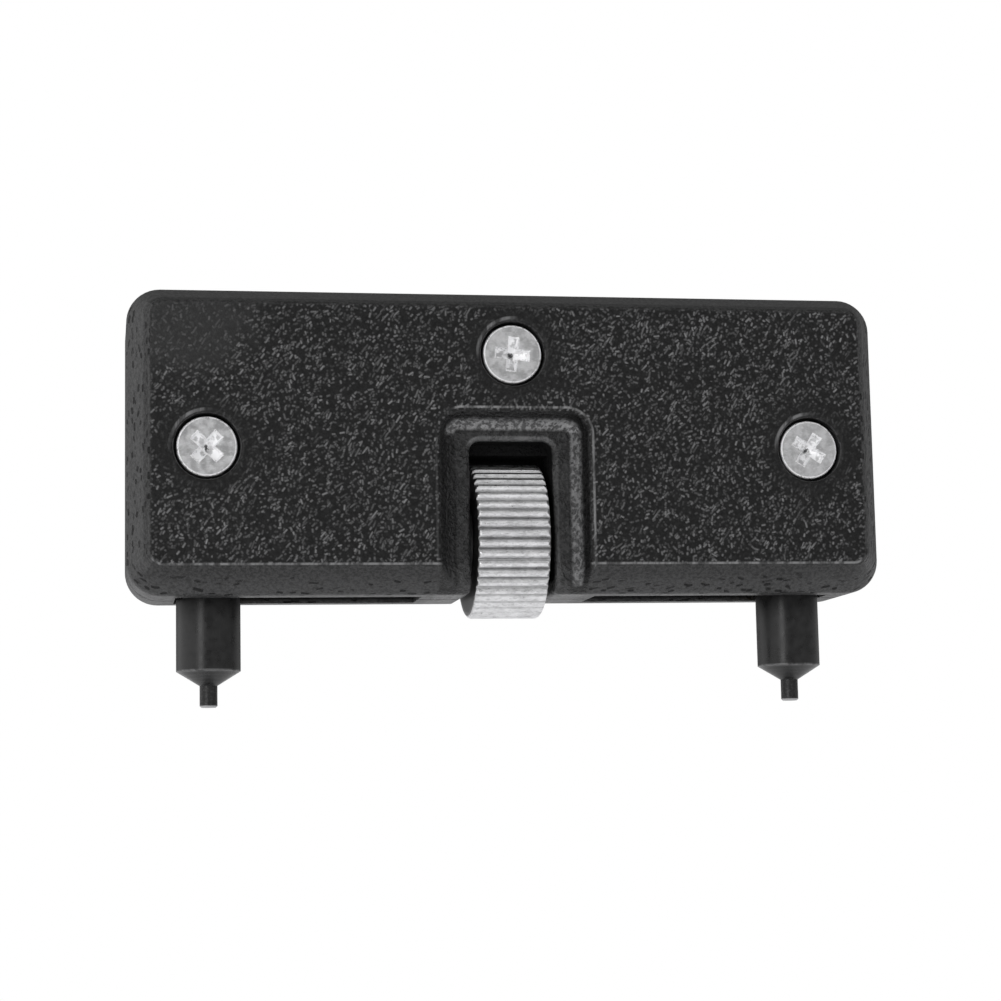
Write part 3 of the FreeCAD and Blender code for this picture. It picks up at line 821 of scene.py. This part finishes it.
NICKEL_BUMP = 0.02

RING_NOISE = (0.1, 2.0)
TURNING_NOISE = (0.12, 2.0)
TURNING_HEIGHT = 0.25
CONE_STEP = (0.05, -0.15)
CONE_RING_STEP = (0.4, 0.6)
CONE_RING_SHARE = 0.4
CONE_RING_TONE = 0.06
OXIDE_CLOUD_NOISE = (0.9, 3.0)
OXIDE_TONES = (0.006, 0.014)
CONE_HIGHLIGHT_HALF_WIDTH = 0.16
CONE_HIGHLIGHT_NOISE = (0.6, 3.0)
CONE_HIGHLIGHT_STEP = (0.35, 0.55, 0.3, 1.0)
CONE_HIGHLIGHT_SHARE = 0.4
CONE_HIGHLIGHT_TONE = 0.25
OXIDE_ROUGHNESS_STEP = (0.3, 0.7, 0.26, 0.36)
OXIDE_SHINE_STEP = (-2.6, 0.0, 0.5, 0.2)
OXIDE_BUMP = 0.012
OXIDE_METALLIC = 0.1
OXIDE_IOR = 1.45

PIN_SPECK_NOISE = (0.2, 3.0, 0.7)
PIN_SPECK_STEP = (0.45, 0.7)
PIN_TONES = (0.02, 0.05)
PIN_TIP_RAGGED = 0.12
PIN_TIP_STEP = (0.28, 0.16)
PIN_TIP_TONE = 0.42
PIN_ROUGHNESS = 0.34
PIN_METALLIC = 0.6
PIN_BUMP = 0.03

MACHINED_CLOUD_NOISE = (1.2, 3.0)
MACHINED_LINE_NOISE = (0.12, 2.0)
MACHINED_ROUGHNESS_SPREAD = 0.12
MACHINED_BUMP = 0.008

# Machined metals: two colours, roughness, and the stretch of the fine lines along each axis
SPINDLE_LOOK = (grey(0.34), grey(0.46), 0.28, (1.0, 0.2, 0.2))
WASHER_LOOK = (grey(0.05), grey(0.07), 0.4, (0.2, 1.0, 1.0))
BRASS_LOOK = ((0.55, 0.37, 0.13, 1.0), (0.68, 0.48, 0.19, 1.0), 0.26, (0.3, 1.0, 1.0))


def distance_from_cross(g, u, v, node):
    """Signed distance from the outline of a screw's cross, negative inside."""
    turned_u, turned_v, _ = g.split(turned_plane(g, g.join(u, v), -math.radians(CROSS_TURNS[node])))
    u, v = g.math("ABSOLUTE", turned_u), g.math("ABSOLUTE", turned_v)
    arms = [
        g.math("MAXIMUM", g.math("SUBTRACT", a, CROSS_REACH), g.math("SUBTRACT", b, CROSS_HALF_WIDTH))
        for a, b in ((u, v), (v, u))
    ]
    return g.math("MINIMUM", *arms)


def screw_plating(node):
    """Dull zinc plate: cloudy and finely scratched, with painted highlights at the rim and round the cross,
    a painted reflection inside the cross, and darker at its middle.
    """
    g = Surface("screw_plating_" + node)
    place = g.position()
    x, _, z = g.split(place)
    u, v, radius = from_screw(g, x, z, node)
    ragged = g.noise(place, *RAGGED_NOISE)
    cross = g.scaled(g.centred(ragged), RAGGED_CROSS, distance_from_cross(g, u, v, node))
    cloud = g.noise(place, *ZINC_CLOUD_NOISE)
    speck = g.noise(place, *ZINC_SPECK_NOISE)
    scratch = g.noise(g.stretched(place, *ZINC_SCRATCH_STRETCH), *ZINC_SCRATCH_NOISE)
    low, high = box_mm(node)
    rim_radius = (high.x - low.x) / 2 - HEAD_EDGE / 2
    rim = g.product(g.band(radius, rim_radius, HEAD_RIM_HALF_WIDTH), g.ramp(ragged, *HEAD_RIM_STEP))
    cross_edge_highlight = g.product(g.band(cross, *CROSS_EDGE_HIGHLIGHT_BAND), g.ramp(ragged, *CROSS_EDGE_HIGHLIGHT_STEP))
    patchy = g.ramp(g.noise(g.shifted(place, *PATCHY_SHIFT), *PATCHY_NOISE), *PATCHY_STEP)
    cross_reflection = g.product(g.ramp(cross, *IN_CROSS_STEP), patchy)
    dark_middle = g.ramp(g.scaled(g.centred(ragged), DARK_MIDDLE_RAGGED, radius), *DARK_MIDDLE_STEP)

    colour = g.between(g.ramp(cloud, *ZINC_CLOUD_STEP), ZINC_TONES)
    scratched = g.product(g.ramp(scratch, *ZINC_SCRATCH_STEP), ZINC_SCRATCH_SHARE)
    colour = g.tint(scratched, colour, grey(ZINC_SCRATCH_TONE))
    specked = g.product(g.ramp(speck, *ZINC_SPECK_STEP), ZINC_SPECK_SHARE)
    colour = g.tint(specked, colour, grey(ZINC_SPECK_TONE))
    # Painted reflection: the inside of the cross is coloured near white, with its metal turned down.
    colour = g.tint(cross_reflection, colour, grey(CROSS_REFLECTION_TONE))
    # Painted highlights on the head's rim and round the edges of the cross.
    colour = g.tint(g.highest(cross_edge_highlight, rim), colour, grey(SCREW_HIGHLIGHT_TONE))
    # Darker at the middle of the cross.
    colour = g.tint(dark_middle, colour, grey(DARK_MIDDLE_TONE))
    height = g.math("ADD", g.product(speck, ZINC_SPECK_HEIGHT), cloud)
    return g.finish(
        Base_Color=colour,
        Roughness=g.ramp(cloud, *ZINC_ROUGHNESS_STEP),
        Metallic=g.scaled(g.highest(cross_reflection, cross_edge_highlight, rim), ZINC_METALLIC_PAINTED, ZINC_METALLIC),
        Normal=g.bump(height, ZINC_BUMP),
    )


def wheel_steel():
    """Satin nickel plate: small pits, drawn streaks and grime along the teeth, painted shade in the valleys
    between them and on the sides.
    """
    g = Surface("wheel_steel_nickel")
    place = g.position()
    streak = g.noise(g.stretched(place, *NICKEL_STREAK_STRETCH), *NICKEL_STREAK_NOISE)
    pit = g.ramp(g.noise(place, *NICKEL_PIT_NOISE), *NICKEL_PIT_STEP)
    grime = g.noise(g.stretched(place, *GRIME_STRETCH), *GRIME_NOISE)
    x, y, z = g.split(place)
    radius = g.length(y, g.math("SUBTRACT", z, AXIS_Z))
    valley = g.step_from(g.scaled(streak, VALLEY_RAGGED, radius), WHEEL_R, VALLEY_STEP)
    near_side = g.step_from(g.math("ABSOLUTE", x), WHEEL_HALF, WHEEL_SIDE_STEP)
    shaded_side = g.product(near_side, g.ramp(radius, *WHEEL_SIDE_RADIUS_STEP))

    cloud = g.noise(place, *NICKEL_CLOUD_NOISE)
    colour = g.between(g.ramp(cloud, *CLOUD_STEP), NICKEL_TONES)
    streaked = g.product(g.ramp(streak, *NICKEL_STREAK_STEP), NICKEL_STREAK_SHARE)
    colour = g.tint(streaked, colour, grey(NICKEL_STREAK_TONE))
    colour = g.tint(g.product(g.ramp(grime, *GRIME_STEP), GRIME_SHARE), colour, grey(GRIME_TONE))
    # Painted shade in the valleys between the teeth.
    colour = g.tint(g.product(valley, VALLEY_SHADE_SHARE), colour, grey(VALLEY_SHADE_TONE))
    # Painted shade on the wheel's sides inside the rim.
    colour = g.tint(g.product(shaded_side, WHEEL_SIDE_SHARE), colour, grey(WHEEL_SIDE_SHADE_TONE))
    colour = g.tint(g.product(pit, NICKEL_PIT_SHARE), colour, grey(NICKEL_PIT_TONE))
    height = g.math("SUBTRACT", g.product(streak, NICKEL_STREAK_HEIGHT), pit)
    return g.finish(
        Base_Color=colour,
        Roughness=g.ramp(streak, *NICKEL_ROUGHNESS_STEP),
        Metallic=1.0,
        Normal=g.bump(height, NICKEL_BUMP),
    )


def blackened_steel(centre_x):
    """Oil-blackened turned steel, greyer at the cone's top edge as a painted highlight, and duller, as
    painted shade, where the case shades it.
    """
    g = Surface("blackened_steel_turned")
    place = g.position()
    x, y, z = g.split(place)
    radius = g.length(g.math("SUBTRACT", g.math("ABSOLUTE", x), centre_x), y)
    rings = g.noise(g.join(radius, 0.0), *RING_NOISE)
    turning = g.noise(g.join(0.0, 0.0, z), *TURNING_NOISE)
    cone = g.step_from(z, CLAW_CONE_TOP, CONE_STEP)
    lines = g.choose(cone, g.product(turning, TURNING_HEIGHT), rings)
    cloud = g.noise(place, *OXIDE_CLOUD_NOISE)
    edge = g.band(z, CLAW_CONE_TOP, CONE_HIGHLIGHT_HALF_WIDTH)
    edge_highlight = g.product(edge, g.ramp(g.noise(place, *CONE_HIGHLIGHT_NOISE), *CONE_HIGHLIGHT_STEP))

    colour = g.between(g.ramp(cloud, *CLOUD_STEP), OXIDE_TONES)
    ringed = g.product(cone, g.ramp(rings, *CONE_RING_STEP), CONE_RING_SHARE)
    colour = g.tint(ringed, colour, grey(CONE_RING_TONE))
    # Painted highlight: a pale, broken band round the cone's top edge.
    colour = g.tint(g.product(edge_highlight, CONE_HIGHLIGHT_SHARE), colour, grey(CONE_HIGHLIGHT_TONE))
    return g.finish(
        Base_Color=colour,
        Roughness=g.ramp(cloud, *OXIDE_ROUGHNESS_STEP),
        Metallic=OXIDE_METALLIC,
        Normal=g.bump(lines, OXIDE_BUMP),
        IOR=OXIDE_IOR,
        Specular_IOR_Level=g.step_from(z, CASE_BOTTOM, OXIDE_SHINE_STEP),
    )


def claw_pin_steel():
    """Blackened pin with a worn, paler tip."""
    g = Surface("claw_pin_steel_worn")
    place = g.position()
    _, _, z = g.split(place)
    speck = g.noise(place, *PIN_SPECK_NOISE)
    tip = g.ramp(g.scaled(speck, PIN_TIP_RAGGED, z), *PIN_TIP_STEP)
    colour = g.between(g.ramp(speck, *PIN_SPECK_STEP), PIN_TONES)
    return g.finish(
        Base_Color=g.tint(tip, colour, grey(PIN_TIP_TONE)),
        Roughness=PIN_ROUGHNESS,
        Metallic=PIN_METALLIC,
        Normal=g.bump(speck, PIN_BUMP),
    )


def machined_metal(name, low, high, rough, axis_stretch):
    """A machined metal with cloudy colour and fine drawn lines."""
    g = Surface(name)
    place = g.position()
    cloud = g.noise(place, *MACHINED_CLOUD_NOISE)
    line = g.noise(g.stretched(place, *axis_stretch), *MACHINED_LINE_NOISE)
    return g.finish(
        Base_Color=g.tint(g.ramp(cloud, *CLOUD_STEP), low, high),
        Roughness=g.scaled(line, MACHINED_ROUGHNESS_SPREAD, rough),
        Metallic=1.0,
        Normal=g.bump(line, MACHINED_BUMP),
    )


# ------------------------ meshes


def new_object(name, data):
    made = bpy.data.objects.new(name, data)
    bpy.context.scene.collection.objects.link(made)
    return made


def piece(name, points, faces, body, material, node, sharp):
    """A mesh piece from points in millimetres, riding on body and standing for the CAD node."""
    mesh = bpy.data.meshes.new(name)
    mesh.from_pydata([Vector(p) * MM for p in points], [], faces)
    mesh.validate()
    for polygon in mesh.polygons:
        polygon.use_smooth = True
    mesh.set_sharp_from_angle(angle=sharp)
    mesh.materials.append(material)
    made = new_object(name, mesh)
    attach(made, body)
    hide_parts(node)
    return made


def clamped(value):
    return max(0.0, min(1.0, value))


def ring_faces(first, second, count):
    """Quads between two rings of count points that start at these indices."""
    return [
        (first + i, first + (i + 1) % count, second + (i + 1) % count, second + i) for i in range(count)
    ]


def turned(rings, count, closed=False):
    """A skin round the spindle's axis; each ring is (x, radius at a turn)."""
    points = []
    for x, radius_at in rings:
        for step in range(count):
            turn = 2 * math.pi * step / count
            radius = radius_at(turn)
            points.append((x, radius * math.cos(turn), AXIS_Z + radius * math.sin(turn)))
    faces = []
    last = (len(rings) - 1) * count
    for index in range(len(rings) - 1):
        faces += ring_faces(index * count, (index + 1) * count, count)
    if closed:
        faces += ring_faces(last, 0, count)
    else:
        faces.append(tuple(range(count - 1, -1, -1)))
        faces.append(tuple(last + i for i in range(count)))
    return points, faces


def plain(radius):
    """The same radius at every turn."""
    return lambda turn: radius


def thread_radius(crest, depth, pitch, hand, x, fade):
    """Radius of a rolled thread at a turn; fade is 0 where the thread has run out."""

    def radius(turn):
        phase = (x / pitch - hand * turn / (2 * math.pi)) % 1.0
        valley = 0.5 - 0.5 * math.cos(2 * math.pi * phase)
        return crest - depth * fade * valley**THREAD_CREST_POWER

    return radius


def thumb_wheel(material):
    """Round-crested straight knurl, softened towards both rims, with a bore that closes the skin."""
    draw = random.Random(KNURL_SEED)
    teeth = [
        (draw.uniform(*KNURL_SIZES), draw.uniform(-KNURL_SHIFT, KNURL_SHIFT)) for _ in range(KNURLS)
    ]
    pitch = 2 * math.pi / KNURLS

    def knurl(limit):
        def radius(turn):
            nearest = round(turn / pitch)
            size, shift = teeth[int(nearest) % KNURLS]
            phase = turn / pitch - nearest + shift * KNURL_SHIFT_SHARE
            groove = KNURL_DEPTH * clamped((abs(phase) - KNURL_CREST_HALF) / KNURL_FLANK) * size
            return min(limit, WHEEL_R - groove)

        return radius

    rim = WHEEL_R - WHEEL_EDGE
    profile = [(WHEEL_HALF - inwards, rim + upwards) for inwards, upwards in WHEEL_EDGE_ROUND]
    profile += [(WHEEL_HALF * share, WHEEL_R) for share in WHEEL_STATIONS]
    stations = [(-x, r) for x, r in profile] + [(0.0, WHEEL_R)] + profile[::-1]
    rings = [(x, knurl(radius)) for x, radius in stations]
    chamfer_depth, chamfer_height = WHEEL_BORE_CHAMFER
    right = [
        (WHEEL_HALF, plain(rim - WHEEL_FACE_STEP)),
        (WHEEL_HALF, plain(WHEEL_BORE_R + chamfer_height)),
        (WHEEL_HALF - chamfer_depth, plain(WHEEL_BORE_R)),
    ]
    left = [(-x, radius) for x, radius in right[::-1]]
    points, faces = turned(left + rings + right, KNURLS * KNURL_STEPS, closed=True)
    return piece(
        "thumb_wheel_knurled", points, faces, "drive", material, "thumb_wheel", WHEEL_SHARP
    )


def spindle_side(hand):
    """The rings of one half of the spindle, outwards; hand is 1 to the right and -1 to the left."""
    step = THREAD_PITCH / STEPS_PER_PITCH
    rings = [
        (SEAT_HALF - SEAT_CHAMFER, plain(SEAT_R)),
        (SEAT_HALF, plain(SEAT_R - SEAT_CHAMFER)),
        (SEAT_HALF, plain(THREAD_CREST_R)),
    ]
    for index in range(1, int((JOURNAL_START - THREAD_END_GAP - SEAT_HALF) / step) + 1):
        x = SEAT_HALF + index * step
        fade = min(1.0, (x - SEAT_HALF) / THREAD_RUN_IN, (JOURNAL_START - x) / THREAD_RUN_OUT)
        rings.append((x, thread_radius(THREAD_CREST_R, THREAD_DEPTH, THREAD_PITCH, hand, x, fade)))
    rings += [
        (JOURNAL_START, plain(THREAD_CREST_R - THREAD_END_CHAMFER)),
        (JOURNAL_START, plain(JOURNAL_R)),
        (SPINDLE_END - JOURNAL_CHAMFER, plain(JOURNAL_R)),
        (SPINDLE_END, plain(JOURNAL_R - JOURNAL_CHAMFER)),
    ]
    return [(hand * x, radius) for x, radius in rings]


def spindle(material):
    """One rod with a left-hand thread on the left and a right-hand thread on the right."""
    points, faces = turned(spindle_side(-1)[::-1] + spindle_side(1), SPINDLE_SIDES)
    return piece(
        "spindle_threaded", points, faces, "drive", material, "spindle", SPINDLE_SHARP
    )


def cross_depth(u, v):
    """How deep the worn cross recess is at a point of the head, in millimetres."""
    depth = 0.0
    share = max(0.0, 1.0 - math.hypot(u, v) / CROSS_REACH)
    floor_depth = CROSS_DEPTH_END + (CROSS_DEPTH_MIDDLE - CROSS_DEPTH_END) * share
    for along, aside in ((abs(u), abs(v)), (abs(v), abs(u))):
        past_end = along - CROSS_REACH
        past_side = aside - CROSS_HALF_WIDTH * (1.0 + CROSS_WIDENING * along)
        rounded = math.hypot(max(past_end + CROSS_CORNER, 0.0), max(past_side + CROSS_CORNER, 0.0))
        over = rounded - CROSS_CORNER
        distance = over if over > 0 else min(max(past_end, past_side), over)
        wall = clamped(0.5 - distance / CROSS_WALL)
        depth = max(depth, floor_depth * wall * wall * (3 - 2 * wall))
    return depth


def head_height(r, share, top, seed, cross_turn):
    """Height of a worn head's face at a turn, on the ring of radius r, at a share of the way out."""

    def height(turn):
        u, v = r * math.cos(turn + cross_turn), r * math.sin(turn + cross_turn)
        spot = Vector((u * HEAD_WEAR_PER_MM + seed, v * HEAD_WEAR_PER_MM, HEAD_WEAR_LAYER))
        wear = HEAD_WEAR * noise.noise(spot) * (1 - share**HEAD_WEAR_POWER)
        return top + HEAD_SINK + cross_depth(u, v) + wear

    return height


def shank_rings(seat, tip):
    """The rings of a screw's threaded shank as (radius at a turn, y)."""
    step = SHANK_PITCH / STEPS_PER_PITCH
    rings = []
    for index in range(1, int((tip - seat - SHANK_TIP_LENGTH) / step) + 1):
        y = seat + index * step
        fade = clamped(min((y - seat - SHANK_PLAIN_LENGTH) / SHANK_RUN_IN, (tip - y) / SHANK_RUN_OUT))
        rings.append((thread_radius(SHANK_R, SHANK_THREAD_DEPTH, SHANK_PITCH, -1, y, fade), y))
    rings.append((plain(SHANK_R - SHANK_TIP_CHAMFER), tip))
    return rings


def shell_screw(node, material):
    """Flat round head with a worn cross recess, on a shank with a coarse thread."""
    low, high = box_mm(node)
    centre_x, centre_z = (low.x + high.x) / 2, (low.z + high.z) / 2
    radius = (high.x - low.x) / 2
    top, seat, tip = low.y, low.y + HEAD_THICKNESS, high.y
    points, faces = [], []

    def add_ring(radius_at, y_at):
        start = len(points)
        for step in range(HEAD_SIDES):
            turn = 2 * math.pi * step / HEAD_SIDES
            r = radius_at(turn)
            points.append((centre_x + r * math.cos(turn), y_at(turn), centre_z + r * math.sin(turn)))
        return start

    for ring in range(HEAD_RINGS, 0, -1):
        share = ring / HEAD_RINGS
        r = (radius - HEAD_EDGE) * share
        add_ring(plain(r), head_height(r, share, top, centre_x, math.radians(CROSS_TURNS[node])))
    for index in range(HEAD_RINGS - 1):
        faces += ring_faces((index + 1) * HEAD_SIDES, index * HEAD_SIDES, HEAD_SIDES)
    inner = (HEAD_RINGS - 1) * HEAD_SIDES
    centre = len(points)
    points.append((centre_x, top + HEAD_SINK + CROSS_DEPTH_MIDDLE, centre_z))
    faces += [(centre, inner + i, inner + (i + 1) % HEAD_SIDES) for i in range(HEAD_SIDES)]

    outline = [(radius - inwards, top + down) for inwards, down in HEAD_EDGE_ROUND]
    outline += [(radius, seat - HEAD_SEAT_CHAMFER), (radius - HEAD_SEAT_CHAMFER, seat), (SHANK_R, seat)]
    before = 0
    for radius_at, y in [(plain(r), y) for r, y in outline] + shank_rings(seat, tip):
        start = add_ring(radius_at, plain(y))
        faces += ring_faces(before, start, HEAD_SIDES)
        before = start
    faces.append(tuple(before + i for i in range(HEAD_SIDES)))
    return piece(node + "_head", points, faces, "case", material, node, SCREW_SHARP)


# ------------------------ stage, light and camera


def facing_back(azimuth, elevation):
    """The unit vector from the object towards a viewer at these angles."""
    a, e = math.radians(azimuth), math.radians(elevation)
    return Vector((math.sin(a) * math.cos(e), -math.cos(a) * math.cos(e), math.sin(e)))


def floor_surface():
    """Pale and a little glowing from above, and clear to a camera that looks from below."""
    g = Surface("floor_pale")
    g.finish(
        Base_Color=g.between(g.noise(g.position(), *FLOOR_NOISE), FLOOR_TONES),
        Roughness=FLOOR_ROUGHNESS,
        Emission_Color=grey(1.0),
        Emission_Strength=FLOOR_GLOW,
    )
    clear = g.add("BsdfTransparent", {})
    ray = g.add("LightPath", {}).outputs["Is Camera Ray"]
    behind = g.add("NewGeometry", {}).outputs["Backfacing"]
    seen = {0: g.product(ray, behind), 1: g.shader.outputs[0], 2: clear.outputs[0]}
    chosen = g.add("MixShader", seen)
    g.feed(g.tree.nodes["Material Output"].inputs["Surface"], chosen.outputs[0])
    return g.material


def floor():
    """A wide pale floor under the claws."""
    mesh = bpy.data.meshes.new("floor")
    corners = [(-1, -1, 0), (1, -1, 0), (1, 1, 0), (-1, 1, 0)]
    mesh.from_pydata([Vector(c) * FLOOR_HALF * MM for c in corners], [], [(0, 1, 2, 3)])
    new_object("floor", mesh)
    mesh.materials.append(floor_surface())


def surroundings():
    """White behind everything, and a light tent that is darker straight ahead of the faces."""
    world = bpy.data.worlds.new("studio")
    bpy.context.scene.world = world
    world.use_nodes = True
    g = Graph(world.node_tree)
    x, y, z = g.split(g.add("TexCoord", {}).outputs["Generated"])
    ahead = g.ramp(g.math("ABSOLUTE", y), *TENT_AHEAD)
    across = g.map_range(x, *TENT_ACROSS, "LINEAR")
    above = g.map_range(z, *TENT_ABOVE, "LINEAR")
    seen = g.add("LightPath", {}).outputs["Is Camera Ray"]
    background = g.tree.nodes["Background"]
    g.feed(background.inputs["Strength"], g.choose(seen, g.product(ahead, across, above), 1.0))
    background.inputs["Color"].default_value = (1.0, 1.0, 1.0, 1.0)


def set_up(made, place, rotation):
    made.location = place * MM
    made.rotation_mode = "QUATERNION"
    made.rotation_quaternion = rotation


def softbox(name, azimuth, elevation, distance, width, height, power):
    """An area light that looks at the middle of the case."""
    data = bpy.data.lights.new(name, "AREA")
    data.shape = "RECTANGLE"
    data.size, data.size_y = width * MM, height * MM
    data.energy = power
    back = facing_back(azimuth, elevation)
    set_up(new_object(name, data), CAMERA_CENTRE + back * distance, (-back).to_track_quat("-Z", "Y"))


def camera():
    """The camera at the viewing angle, with its roll."""
    data = bpy.data.cameras.new("camera")
    data.lens = CAMERA_LENS
    data.clip_start, data.clip_end = CAMERA_CLIP_M
    made = new_object("camera", data)
    place = CAMERA_CENTRE + facing_back(CAMERA_AZIMUTH, CAMERA_ELEVATION) * CAMERA_DISTANCE
    look = (CAMERA_AIM - place).to_track_quat("-Z", "Y").to_matrix()
    roll = Matrix.Rotation(math.radians(CAMERA_ROLL), 3, "Z")
    set_up(made, place, (look @ roll).to_quaternion())
    bpy.context.scene.camera = made


# ------------------------ the object


zinc = {name: screw_plating(name) for name in SCREW_NODES}
nickel = wheel_steel()
rolled = machined_metal("spindle_steel_rolled", *SPINDLE_LOOK)
post_x = sum(corner.x for corner in box_mm("right_post")) / 2
by_slot = {
    "shell_plastic": shell_plastic(),
    "screw_plating": zinc[SCREW_NODES[0]],
    "wheel_steel": nickel,
    "blackened_steel": blackened_steel(post_x),
    "claw_pin_steel": claw_pin_steel(),
    "spindle_steel": rolled,
    "washer_steel": machined_metal("washer_steel_blackened", *WASHER_LOOK),
    "brass": machined_metal("brass_machined", *BRASS_LOOK),
}
for cad_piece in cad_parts.values():
    for index, material in enumerate(list(cad_piece.data.materials)):
        cad_piece.data.materials[index] = by_slot[material.name]

thumb_wheel(nickel)
spindle(rolled)
for name in SCREW_NODES:
    shell_screw(name, zinc[name])

floor()
surroundings()
for settings in SOFTBOXES:
    softbox(*settings)
camera()
bpy.context.scene.view_settings.view_transform = "Standard"
